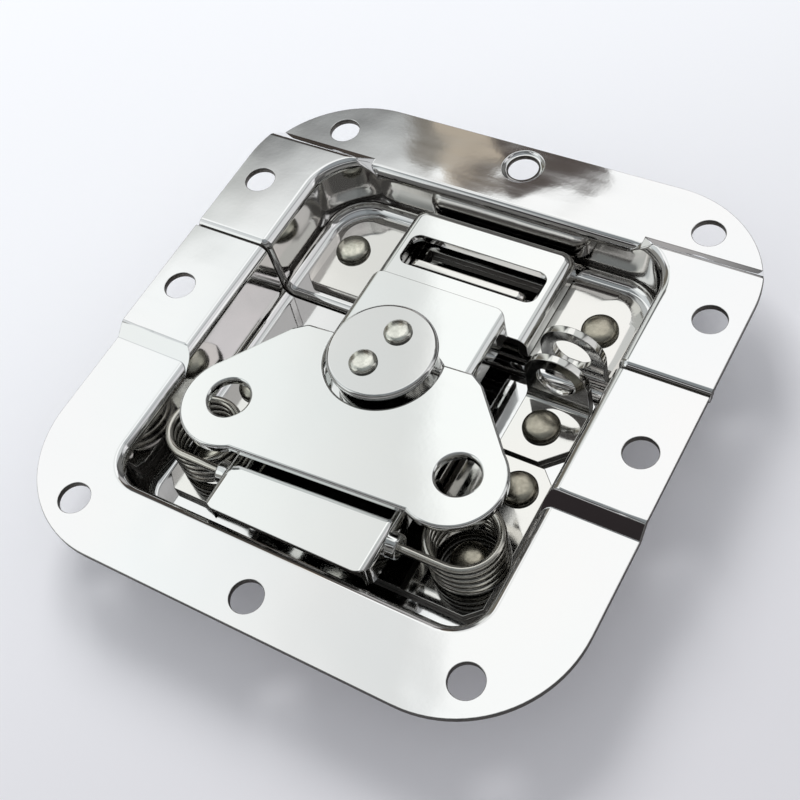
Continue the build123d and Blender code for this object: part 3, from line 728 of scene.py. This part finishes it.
# %% [markdown]
# ### Tumbled rivets
# Rivets are tumbled by the thousand in a barrel before they get a thin dull nickel. Small dents
# and a mottled grey-beige tone set them off from the bright sheet. Each head is painted darker
# towards its foot and bright on top, as painted shade and a painted highlight. The rivets are
# also painted lighter at the left of the latch and darker at the right, as painted shade, and
# the cap's rivets get a lighter copy of the finish, as painted light. The tree that makes a
# rivet keeps how far up its profile each point lies, as the attribute rise.

# %% Dull rivets
DENT_MM, DENT_DEPTH_MM = 0.6, 0.006
MOTTLE_MM = 0.8
PAINTED_SHADE_SPAN_MM = (-30, 28)  # painted shade: the tone goes from the lighter left one at this X to the darker right one
FOOT = 0.37  # where the head starts on the profile


def tumbled(name, left, right, shine, painted_lit_from):
    """Dull nickel on a tumbled rivet; left and right are its painted tones at the left and the right of
    the latch, as painted shade.
    """
    material = bpy.data.materials.new(name)
    material.use_nodes = True
    tree = material.node_tree
    shader = tree.nodes["Principled BSDF"]
    shader.inputs["Metallic"].default_value = 1.0
    place = add(tree, "ShaderNodeTexCoord").outputs["Object"]
    across = add(tree, "ShaderNodeSeparateXYZ", links={0: place}).outputs["X"]
    # painted shade: lighter on the left of the latch, darker on the right
    painted_side_shade = add(
        tree,
        "ShaderNodeMapRange",
        values={"From Min": PAINTED_SHADE_SPAN_MM[0] * MM, "From Max": PAINTED_SHADE_SPAN_MM[1] * MM},
        links={"Value": across},
    )
    tone = add(
        tree,
        "ShaderNodeMix",
        settings={"data_type": "RGBA"},
        values={6: linear(left), 7: linear(right)},
        links={0: painted_side_shade.outputs["Result"]},
    )
    mottle = add(
        tree,
        "ShaderNodeTexNoise",
        values={"Scale": 1000 / MOTTLE_MM, "Detail": 3.0},
        links={"Vector": place},
    )
    patchy = add(
        tree,
        "ShaderNodeMapRange",
        values={"From Min": 0.3, "From Max": 0.7, "To Min": 0.86, "To Max": 1.05},
        links={"Value": mottle.outputs["Fac"]},
    )
    # painted shade and highlight: the head is painted darker towards its foot and brightest at the top
    rise = add(tree, "ShaderNodeAttribute", settings={"attribute_name": "rise"}).outputs["Fac"]
    painted_shade_to_foot = add(
        tree,
        "ShaderNodeMapRange",
        settings={"interpolation_type": "SMOOTHSTEP"},
        values={"From Min": FOOT, "From Max": painted_lit_from, "To Min": 0.26, "To Max": 1.0},
        links={"Value": rise},
    )
    mottle_and_painted_shade = add(
        tree,
        "ShaderNodeMath",
        settings={"operation": "MULTIPLY"},
        links={0: patchy.outputs[0], 1: painted_shade_to_foot.outputs[0]},
    )
    darker = add(
        tree,
        "ShaderNodeVectorMath",
        settings={"operation": "SCALE"},
        links={0: tone.outputs[2], "Scale": mottle_and_painted_shade.outputs[0]},
    )
    tree.links.new(darker.outputs[0], shader.inputs["Base Color"])
    spread = add(
        tree,
        "ShaderNodeMapRange",
        values={"From Min": 0.3, "From Max": 0.7, "To Min": shine * 1.2, "To Max": shine * 0.85},
        links={"Value": mottle.outputs["Fac"]},
    )
    tree.links.new(spread.outputs["Result"], shader.inputs["Roughness"])
    dents = add(tree, "ShaderNodeTexVoronoi", values={"Scale": 1000 / DENT_MM}, links={"Vector": place})
    pitted = add(
        tree,
        "ShaderNodeBump",
        values={"Strength": 1.0, "Distance": DENT_DEPTH_MM * MM},
        links={"Height": dents.outputs["Distance"]},
    )
    tree.links.new(pitted.outputs["Normal"], shader.inputs["Normal"])
    return material


finish["rivet_steel"] = tumbled("dull nickel on tumbled steel rivets", "#E2E0D2", "#B4AE9F", 0.22, 0.82)
# painted light: the cap's rivets get a lighter copy of the same finish
cap_rivet_lit_skin = tumbled("dull nickel on the cap's rivets, painted lighter", "#ECECE3", "#E8E7DD", 0.17, 0.58)
print("dents every", DENT_MM, "mm")

# %% [markdown]
# ### Drawn spring wire
# Spring wire is pulled cold through a die, so it has fine lines along its length and a bright,
# slightly grey skin. Each turn is painted darker on its underside, as painted shade between the
# turns. The wire tree keeps the length along the path and the way round the wire as attributes,
# so the lines follow the turns.

# %% Drawn wire
WIRE_R = 0.8 * MM
LINE_MM, LINE_DEPTH_MM = 0.22, 0.004
LINE_STRETCH = 0.03  # the lines run along the wire, so the noise hardly moves that way
STAIN_MM = 5.0
wire_skin = bpy.data.materials.new("bright drawn spring steel wire")
wire_skin.use_nodes = True
tree = wire_skin.node_tree
shader = tree.nodes["Principled BSDF"]
shader.inputs["Metallic"].default_value = 1.0
along = add(tree, "ShaderNodeAttribute", settings={"attribute_name": "along"}).outputs["Fac"]
around = add(tree, "ShaderNodeAttribute", settings={"attribute_name": "around"}).outputs["Fac"]
girth = add(
    tree,
    "ShaderNodeMath",
    settings={"operation": "MULTIPLY"},
    values={1: 2 * math.pi * WIRE_R},
    links={0: around},
)
slow = add(
    tree,
    "ShaderNodeMath",
    settings={"operation": "MULTIPLY"},
    values={1: LINE_STRETCH},
    links={0: along},
)
wound = add(tree, "ShaderNodeCombineXYZ", links={0: girth.outputs[0], 1: slow.outputs[0]})
lines = add(
    tree,
    "ShaderNodeTexNoise",
    values={"Scale": 1000 / LINE_MM, "Detail": 2.0},
    links={"Vector": wound.outputs[0]},
)
place = add(tree, "ShaderNodeTexCoord").outputs
stain = add(
    tree,
    "ShaderNodeTexNoise",
    values={"Scale": 1000 / STAIN_MM, "Detail": 2.0},
    links={"Vector": place["Object"]},
)
tone = add(
    tree,
    "ShaderNodeMix",
    settings={"data_type": "RGBA"},
    values={6: linear("#C9C5BA"), 7: linear("#E9E7E2")},
    links={0: stain.outputs["Fac"]},
)
# painted shade: each turn is painted darker where it faces down
facing = add(tree, "ShaderNodeSeparateXYZ", links={0: place["Normal"]}).outputs["Z"]
painted_underside_shade = add(
    tree,
    "ShaderNodeMapRange",
    settings={"interpolation_type": "SMOOTHSTEP"},
    values={"From Min": 0.0, "From Max": 0.55, "To Min": 0.10, "To Max": 1.0},
    links={"Value": facing},
)
wire_tone_with_painted_shade = add(
    tree,
    "ShaderNodeVectorMath",
    settings={"operation": "SCALE"},
    links={0: tone.outputs[2], "Scale": painted_underside_shade.outputs[0]},
)
tree.links.new(wire_tone_with_painted_shade.outputs[0], shader.inputs["Base Color"])
spread = add(
    tree,
    "ShaderNodeMapRange",
    values={"From Min": 0.3, "From Max": 0.7, "To Min": 0.14, "To Max": 0.26},
    links={"Value": lines.outputs["Fac"]},
)
tree.links.new(spread.outputs["Result"], shader.inputs["Roughness"])
drawn = add(
    tree,
    "ShaderNodeBump",
    values={"Strength": 1.0, "Distance": LINE_DEPTH_MM * MM},
    links={"Height": lines.outputs["Fac"]},
)
tree.links.new(drawn.outputs["Normal"], shader.inputs["Normal"])
finish["spring_wire"] = wire_skin

slot_of = {part["node"]: part["material_slot"] for part in frame["record"]["subparts"]}
for name, node in nodes.items():
    node.data.materials.clear()
    node.data.materials.append(finish[slot_of[name]])
print("finishes", sorted(finish))

# %% [markdown]
# ## Rounded sheet edges
# A sheared and tumbled plate has no sharp edge: each one is broken to a tenth or two of a
# millimetre, and that narrow round catches the light. The solids keep sharp edges, so each
# sheet part is copied, its loose triangles are joined, flat faces are made whole again, and a
# Bevel modifier breaks the edges.

# %% Round the edges of the sheet parts
EDGE_BREAK = {
    "latch_dish": 0.14,
    "keeper_dish": 0.14,
    "spring_plate": 0.14,
    "ear_bracket": 0.16,
    "strike_plate": 0.16,
    "carrier": 0.14,
    "draw_tongue": 0.14,
    "wing": 0.10,
    "drum": 0.12,
    "drum_washer": 0.15,
    "cap_disc": 0.08,
}
WELD_MM, FLAT_ANGLE = 0.001, 0.004  # points this near are one, faces this level are one
WIDEST_SHEAR_MM = 1.7  # a sheared face is as wide as the sheet is thick
SHEAR_ANGLE, BREAK_ANGLE = math.radians(60), math.radians(35)
PROUD_MM = 0.13  # a corner of the break further than this from the sheet is in the air
WIDENINGS = 6  # each search round such a corner reaches half as far again
POLISHED_ABOVE_MM = {"ear_bracket": 4.0, "strike_plate": 5.0}  # the padlock eyes are polished
body_of = {n: body for body, members in frame["record"]["behaviour"]["bodies"].items() for n in members}


def evaluated(piece):
    """The piece's mesh with its modifiers."""
    bpy.context.view_layer.update()
    return piece.evaluated_get(bpy.context.evaluated_depsgraph_get()).to_mesh()


def joined(name):
    """Copy of a sheet part with its loose triangles joined and its flat faces whole."""
    mesh = nodes[name].data.copy()
    if mesh.has_custom_normals:
        mesh.attributes.remove(mesh.attributes["custom_normal"])
    shell = bmesh.new()
    shell.from_mesh(mesh)
    bmesh.ops.remove_doubles(shell, verts=shell.verts, dist=WELD_MM * MM)
    bmesh.ops.dissolve_limit(shell, angle_limit=FLAT_ANGLE, verts=shell.verts, edges=shell.edges)
    shell.to_mesh(mesh)
    shell.free()
    return mesh


def round_edges(name, mesh, width_mm):
    """The joined part with its sharp edges broken and its sheared faces marked."""
    shell = bmesh.new()
    shell.from_mesh(mesh)
    polished = POLISHED_ABOVE_MM.get(name, 1000) * MM
    weight = shell.edges.layers.float.new("bevel_weight_edge")
    sheared = shell.faces.layers.float.new("sheared")
    for face in shell.faces:
        face.smooth = True
        sharp = sum(edge.calc_length() for edge in face.edges if edge.calc_face_angle(0) > SHEAR_ANGLE)
        strip = len(face.verts) > 3 and 2 * face.calc_area() < WIDEST_SHEAR_MM * MM * sharp
        face[sheared] = 1.0 if strip and face.calc_center_median().z < polished else 0.0
    for edge in shell.edges:
        edge[weight] = 1.0 if edge.calc_face_angle(0) > BREAK_ANGLE else 0.0
    shell.to_mesh(mesh)
    shell.free()
    piece = bpy.data.objects.new(name + "_rounded", mesh)
    bpy.context.scene.collection.objects.link(piece)
    bevel = piece.modifiers.new("edge break", "BEVEL")
    bevel.width = width_mm * MM
    bevel.segments = 2
    bevel.limit_method = "WEIGHT"
    bevel.use_clamp_overlap = False
    even = piece.modifiers.new("flat faces stay flat", "WEIGHTED_NORMAL")
    even.keep_sharp = True
    return piece


def keep_inside(piece):
    """Where a break would stand out of the sheet, as at a run-out, the edge stays sharp."""
    corners = [v.co for v in piece.data.vertices]
    solid = BVHTree.FromPolygons(corners, [tuple(f.vertices) for f in piece.data.polygons])
    dropped = 0
    for step in range(WIDENINGS):
        reach = 1.5**step * MM
        broken = [v.co.copy() for v in evaluated(piece).vertices]
        proud = [spot for spot in broken if solid.find_nearest(spot)[3] > PROUD_MM * MM]
        if not proud:
            break
        weights = piece.data.attributes["bevel_weight_edge"].data
        for edge in piece.data.edges:
            if not weights[edge.index].value:
                continue
            ends = [piece.data.vertices[i].co for i in edge.vertices]
            if min((end - spot).length for end in ends for spot in proud) < reach:
                weights[edge.index].value = 0.0
                edge.use_edge_sharp = True
                dropped += 1
        piece.data.update()
    return dropped


# %% [markdown]
# The middle hole at the back has a coined ring: a punch with a shoulder sinks the sheet round it
# by a few tenths, so that a rivet head beds down. It could be a bump in the material, but then
# the mesh would lack it. A small turned cutter and a Boolean make it a real shape.

# %% Coined ring
PUNCH_POINTS = 64
RING_PROFILE_MM = (
    (4.15, 0.30),
    (4.05, 0.0),
    (3.85, -0.20),
    (3.55, -0.36),
    (3.25, -0.42),
    (2.80, -0.42),
)


def coined(mesh, middle, top):
    """The mesh with a shallow ring sunk round a hole."""
    points, faces = [], []
    for radius, depth in RING_PROFILE_MM:
        for k in range(PUNCH_POINTS):
            turn = 2 * math.pi * k / PUNCH_POINTS
            east, north = radius * MM * math.cos(turn), radius * MM * math.sin(turn)
            points.append((middle.x + east, middle.y + north, top + depth * MM))
    for row in range(len(RING_PROFILE_MM) - 1):
        for k in range(PUNCH_POINTS):
            a, b = row * PUNCH_POINTS + k, row * PUNCH_POINTS + (k + 1) % PUNCH_POINTS
            faces.append((a, a + PUNCH_POINTS, b + PUNCH_POINTS, b))
    faces.append(tuple(range(PUNCH_POINTS)))
    faces.append(tuple(reversed(range(len(points) - PUNCH_POINTS, len(points)))))
    punch_mesh = bpy.data.meshes.new("shoulder_punch")
    punch_mesh.from_pydata(points, [], faces)
    shell = bmesh.new()
    shell.from_mesh(punch_mesh)
    bmesh.ops.recalc_face_normals(shell, faces=shell.faces)
    shell.to_mesh(punch_mesh)
    shell.free()
    punch = bpy.data.objects.new("shoulder_punch", punch_mesh)
    blank = bpy.data.objects.new("blank", mesh)
    for item in (punch, blank):
        bpy.context.scene.collection.objects.link(item)
    sink = blank.modifiers.new("coin", "BOOLEAN")
    sink.operation, sink.solver, sink.object = "DIFFERENCE", "EXACT", punch
    bpy.context.view_layer.update()
    struck = bpy.data.meshes.new_from_object(blank.evaluated_get(bpy.context.evaluated_depsgraph_get()))
    for item in (punch, blank):
        bpy.data.objects.remove(item)
    return struck


middle_holes = next(mount for mount in frame["record"]["mounts"] if mount["name"] == "middle_holes")
hole = Vector(middle_holes["pos_m"]) + Vector((0, middle_holes["dims"]["spacing_y_mm"] / 2 * MM, 0))
print("coined ring at", [round(v, 4) for v in hole])

# %% [markdown]
# Now each sheet part is joined, struck where it needs it, broken along its edges and handed over
# in place of its solid, on the same body and with the same finish.

# %% Dress the sheet parts
for name, width in EDGE_BREAK.items():
    mesh = joined(name)
    if name == "keeper_dish":
        mesh = coined(mesh, hole, hole.z)
    piece = round_edges(name, mesh, width)
    print(name, "keeps", keep_inside(piece), "short edges sharp")
    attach(piece, body_of[name])
    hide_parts(name)
print("rounded", len(EDGE_BREAK), "parts")

# %% [markdown]
# ## Set rivets
# A set rivet has a button head with a steep side, a small round where it meets the plate, a
# shank and a tail that was flattened into its countersink. It is a turned shape, so one grid is
# wrapped round an axis: one way of the grid runs round, the other runs up a profile. Three
# curves give the profile: the radius, the way up the shank and the way up the head. Geometry
# Nodes then puts one on each point, so all the rivets of a body are one mesh.

# %% Rivet tree
SEAM_MM = 0.002  # points nearer than this are one, where the grid meets itself
RADIUS_CURVE = (
    (0, 0), (0.08, 0.79), (0.16, 0.56), (0.30, 0.56), (0.34, 0.95), (0.38, 1.0),
    (0.48, 0.975), (0.60, 0.86), (0.72, 0.66), (0.86, 0.35), (1, 0),
)
SHANK_CURVE = ((0, 0), (0.08, 0), (0.16, 0.33), (0.30, 1), (1, 1))
HEAD_CURVE = (
    (0, 0), (0.34, 0.0), (0.38, 0.12), (0.48, 0.46), (0.60, 0.73), (0.72, 0.89), (0.86, 0.975), (1, 1),
)


def socket(tree, name, kind, value=None):
    """A named input of a Geometry Nodes tree."""
    made = tree.interface.new_socket(name, in_out="INPUT", socket_type=kind)
    if value is not None:
        made.default_value = value
    return made


rivets = bpy.data.node_groups.new("set rivets", "GeometryNodeTree")
socket(rivets, "Places", "NodeSocketGeometry")
socket(rivets, "Head radius", "NodeSocketFloat", 3.4 * MM)
socket(rivets, "Head height", "NodeSocketFloat", 1.5 * MM)
socket(rivets, "Grip", "NodeSocketFloat", 2.4 * MM)
socket(rivets, "Around", "NodeSocketInt", 64)
socket(rivets, "Finish", "NodeSocketMaterial")
rivets.interface.new_socket("Rivets", in_out="OUTPUT", socket_type="NodeSocketGeometry")
given = add(rivets, "NodeGroupInput").outputs
grid = add(
    rivets,
    "GeometryNodeMeshGrid",
    values={"Size X": 1.0, "Size Y": 1.0, "Vertices Y": 51},
    links={"Vertices X": given["Around"]},
)
at = add(
    rivets,
    "ShaderNodeSeparateXYZ",
    links={0: add(rivets, "GeometryNodeInputPosition").outputs[0]},
).outputs
angle = add(
    rivets,
    "ShaderNodeMath",
    settings={"operation": "MULTIPLY"},
    values={1: 2 * math.pi},
    links={0: at["X"]},
)
up = add(rivets, "ShaderNodeMath", settings={"operation": "ADD"}, values={1: 0.5}, links={0: at["Y"]})
profile = []
for points in (RADIUS_CURVE, SHANK_CURVE, HEAD_CURVE):
    curve = add(rivets, "ShaderNodeFloatCurve", links={"Value": up.outputs[0]})
    track = curve.mapping.curves[0]
    track.points[0].location, track.points[1].location = points[0], points[-1]
    for spot in points[1:-1]:
        track.points.new(*spot)
    for spot in track.points:
        spot.handle_type = "VECTOR" if spot.location[0] < FOOT else "AUTO"
    curve.mapping.update()
    profile.append(curve.outputs[0])
radius = add(
    rivets,
    "ShaderNodeMath",
    settings={"operation": "MULTIPLY"},
    links={0: profile[0], 1: given["Head radius"]},
)
low = add(
    rivets,
    "ShaderNodeMath",
    settings={"operation": "MULTIPLY"},
    links={0: profile[1], 1: given["Grip"]},
)
tall = add(
    rivets,
    "ShaderNodeMath",
    settings={"operation": "MULTIPLY_ADD"},
    links={0: profile[2], 1: given["Head height"], 2: low.outputs[0]},
)
turned = []
for operation in ("COSINE", "SINE"):
    wave = add(rivets, "ShaderNodeMath", settings={"operation": operation}, links={0: angle.outputs[0]})
    part = add(
        rivets,
        "ShaderNodeMath",
        settings={"operation": "MULTIPLY"},
        links={0: wave.outputs[0], 1: radius.outputs[0]},
    )
    turned.append(part.outputs[0])
spot = add(rivets, "ShaderNodeCombineXYZ", links={0: turned[0], 1: turned[1], 2: tall.outputs[0]})
kept = add(
    rivets,
    "GeometryNodeStoreNamedAttribute",
    settings={"data_type": "FLOAT", "domain": "POINT"},
    values={"Name": "rise"},
    links={"Geometry": grid.outputs["Mesh"], "Value": up.outputs[0]},
)
wrapped = add(
    rivets,
    "GeometryNodeSetPosition",
    links={"Geometry": kept.outputs[0], "Position": spot.outputs[0]},
)
closed = add(
    rivets,
    "GeometryNodeMergeByDistance",
    values={"Distance": SEAM_MM * MM},
    links={"Geometry": wrapped.outputs[0]},
)
smooth = add(rivets, "GeometryNodeSetShadeSmooth", links={"Geometry": closed.outputs[0]})
placed = add(
    rivets,
    "GeometryNodeInstanceOnPoints",
    links={"Points": given["Places"], "Instance": smooth.outputs[0]},
)
real = add(rivets, "GeometryNodeRealizeInstances", links={"Geometry": placed.outputs[0]})
coated = add(
    rivets,
    "GeometryNodeSetMaterial",
    links={"Geometry": real.outputs[0], "Material": given["Finish"]},
)
add(rivets, "NodeGroupOutput", links={0: coated.outputs[0]})
print("rivet tree of", len(rivets.nodes), "nodes")

# %% [markdown]
# A tree is only a recipe. The model needs plain closed meshes, so the tree is run on a base, its
# result is copied, the faces are turned outwards and the open edges are counted.


# %% Bake a tree into a plain mesh
def grown(name, base, tree, inputs):
    """Run a Geometry Nodes tree on a base and keep the result as a plain mesh object."""
    holder = bpy.data.objects.new(name, base)
    bpy.context.scene.collection.objects.link(holder)
    run = holder.modifiers.new(tree.name, "NODES")
    run.node_group = tree
    for item in tree.interface.items_tree:
        if item.item_type == "SOCKET" and item.in_out == "INPUT" and item.name in inputs:
            run[item.identifier] = inputs[item.name]
    bpy.context.view_layer.update()
    mesh = bpy.data.meshes.new_from_object(holder.evaluated_get(bpy.context.evaluated_depsgraph_get()))
    bpy.data.objects.remove(holder)
    shell = bmesh.new()
    shell.from_mesh(mesh)
    bmesh.ops.recalc_face_normals(shell, faces=shell.faces)
    open_edges = sum(1 for edge in shell.edges if len(edge.link_faces) != 2)
    shell.to_mesh(mesh)
    shell.free()
    piece = bpy.data.objects.new(name, mesh)
    bpy.context.scene.collection.objects.link(piece)
    print(name, "has", len(mesh.polygons), "faces and", open_edges, "open edges")
    return piece


# %% [markdown]
# Seven rivets hold the plates to the floor and two hold the cap to the drum. The box of each
# solid rivet tells where its foot stands, how wide its head is and how much it grips.

# %% Set the rivets of each body
RIVET_BODIES = {
    "floor_rivets": (
        "base",
        "spring_rivet_left", "spring_rivet_right",
        "plate_rivet_left", "plate_rivet_right",
        "strike_rivet_left", "strike_rivet_right",
        "bracket_rivet",
    ),
    "cap_rivets": ("drum", "cap_rivet_rear", "cap_rivet_front"),
}
HEAD_HEIGHT = {"floor_rivets": 1.5 * MM, "cap_rivets": 1.0 * MM}
for name, (body, *members) in RIVET_BODIES.items():
    boxes = [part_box(member) for member in members]
    feet = [((lo.x + hi.x) / 2, (lo.y + hi.y) / 2, lo.z) for lo, hi in boxes]
    lo, hi = boxes[0]
    places = bpy.data.meshes.new(name + "_places")
    places.from_pydata(feet, [], [])
    sizes = {
        "Head radius": (hi.x - lo.x) / 2,
        "Head height": HEAD_HEIGHT[name],
        "Grip": hi.z - lo.z - HEAD_HEIGHT[name],
        "Finish": cap_rivet_lit_skin if body == "drum" else finish["rivet_steel"],
    }
    piece = grown(name, places, rivets, sizes)
    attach(piece, body)
    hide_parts(*members)

# %% [markdown]
# ## Wound springs
# Each lift spring is wound from round drawn wire: four and a half left or right hand turns on
# the floor, then a straight arm that is the hinge pin of the carrier. The wire follows a path,
# so the path is a curve worked out from the turns, and a small tree sweeps a round section
# along it and caps both ends.

# %% Wire tree
wire = bpy.data.node_groups.new("round wire", "GeometryNodeTree")
socket(wire, "Path", "NodeSocketGeometry")
socket(wire, "Wire radius", "NodeSocketFloat", WIRE_R)
socket(wire, "Section points", "NodeSocketInt", 20)
socket(wire, "Finish", "NodeSocketMaterial")
wire.interface.new_socket("Wire", in_out="OUTPUT", socket_type="NodeSocketGeometry")
given = add(wire, "NodeGroupInput").outputs
section = add(
    wire,
    "GeometryNodeCurvePrimitiveCircle",
    links={"Resolution": given["Section points"], "Radius": given["Wire radius"]},
)
told = add(wire, "GeometryNodeSplineParameter").outputs
ways = []
for way, source, value in (
    ("along", given["Path"], told["Length"]),
    ("around", section.outputs["Curve"], told["Factor"]),
):
    ways.append(
        add(
            wire,
            "GeometryNodeStoreNamedAttribute",
            settings={"data_type": "FLOAT", "domain": "POINT"},
            values={"Name": way},
            links={"Geometry": source, "Value": value},
        ).outputs[0]
    )
swept = add(
    wire,
    "GeometryNodeCurveToMesh",
    values={"Fill Caps": True},
    links={"Curve": ways[0], "Profile Curve": ways[1]},
)
smooth = add(wire, "GeometryNodeSetShadeSmooth", links={"Geometry": swept.outputs[0]})
real = add(wire, "GeometryNodeRealizeInstances", links={"Geometry": smooth.outputs[0]})
coated = add(
    wire,
    "GeometryNodeSetMaterial",
    links={"Geometry": real.outputs[0], "Material": given["Finish"]},
)
add(wire, "NodeGroupOutput", links={0: coated.outputs[0]})
print("wire tree of", len(wire.nodes), "nodes")

# %% [markdown]
# The two springs are mirror images. Their boxes give the coil's radius, its middle and its
# height, the turns climb evenly, and the last stretch is the straight arm.

# %% Wind the springs
TURNS, STEPS = 4.5, 40
for hand, name in ((-1, "spring_left"), (1, "spring_right")):
    lo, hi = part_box(name)
    outer = hi.x if hand > 0 else lo.x
    coil_r = (hi.y - lo.y) / 2 - WIRE_R
    middle = Vector((outer - hand * (coil_r + WIRE_R), (lo.y + hi.y) / 2, 0))
    bottom, top = lo.z + WIRE_R, hi.z - WIRE_R
    path = []
    for step in range(int(TURNS * STEPS) + 1):
        share = step / (TURNS * STEPS)
        turn_at = math.pi / 2 - share * TURNS * 2 * math.pi
        outward = Vector((hand * math.cos(turn_at), math.sin(turn_at), 0))
        path.append(middle + outward * coil_r + Vector((0, 0, bottom + (top - bottom) * share)))
    arm_end = lo.x if hand > 0 else hi.x
    path.append(Vector((arm_end, path[-1].y, top)))
    line = bpy.data.curves.new(name + "_path", "CURVE")
    line.dimensions = "3D"
    spline = line.splines.new("POLY")
    spline.points.add(len(path) - 1)
    for spot, place in zip(spline.points, path):
        spot.co = (*place, 1)
    piece = grown(name + "_wound", line, wire, {"Wire radius": WIRE_R, "Finish": finish["spring_wire"]})
    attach(piece, body_of[name])
    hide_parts(name)
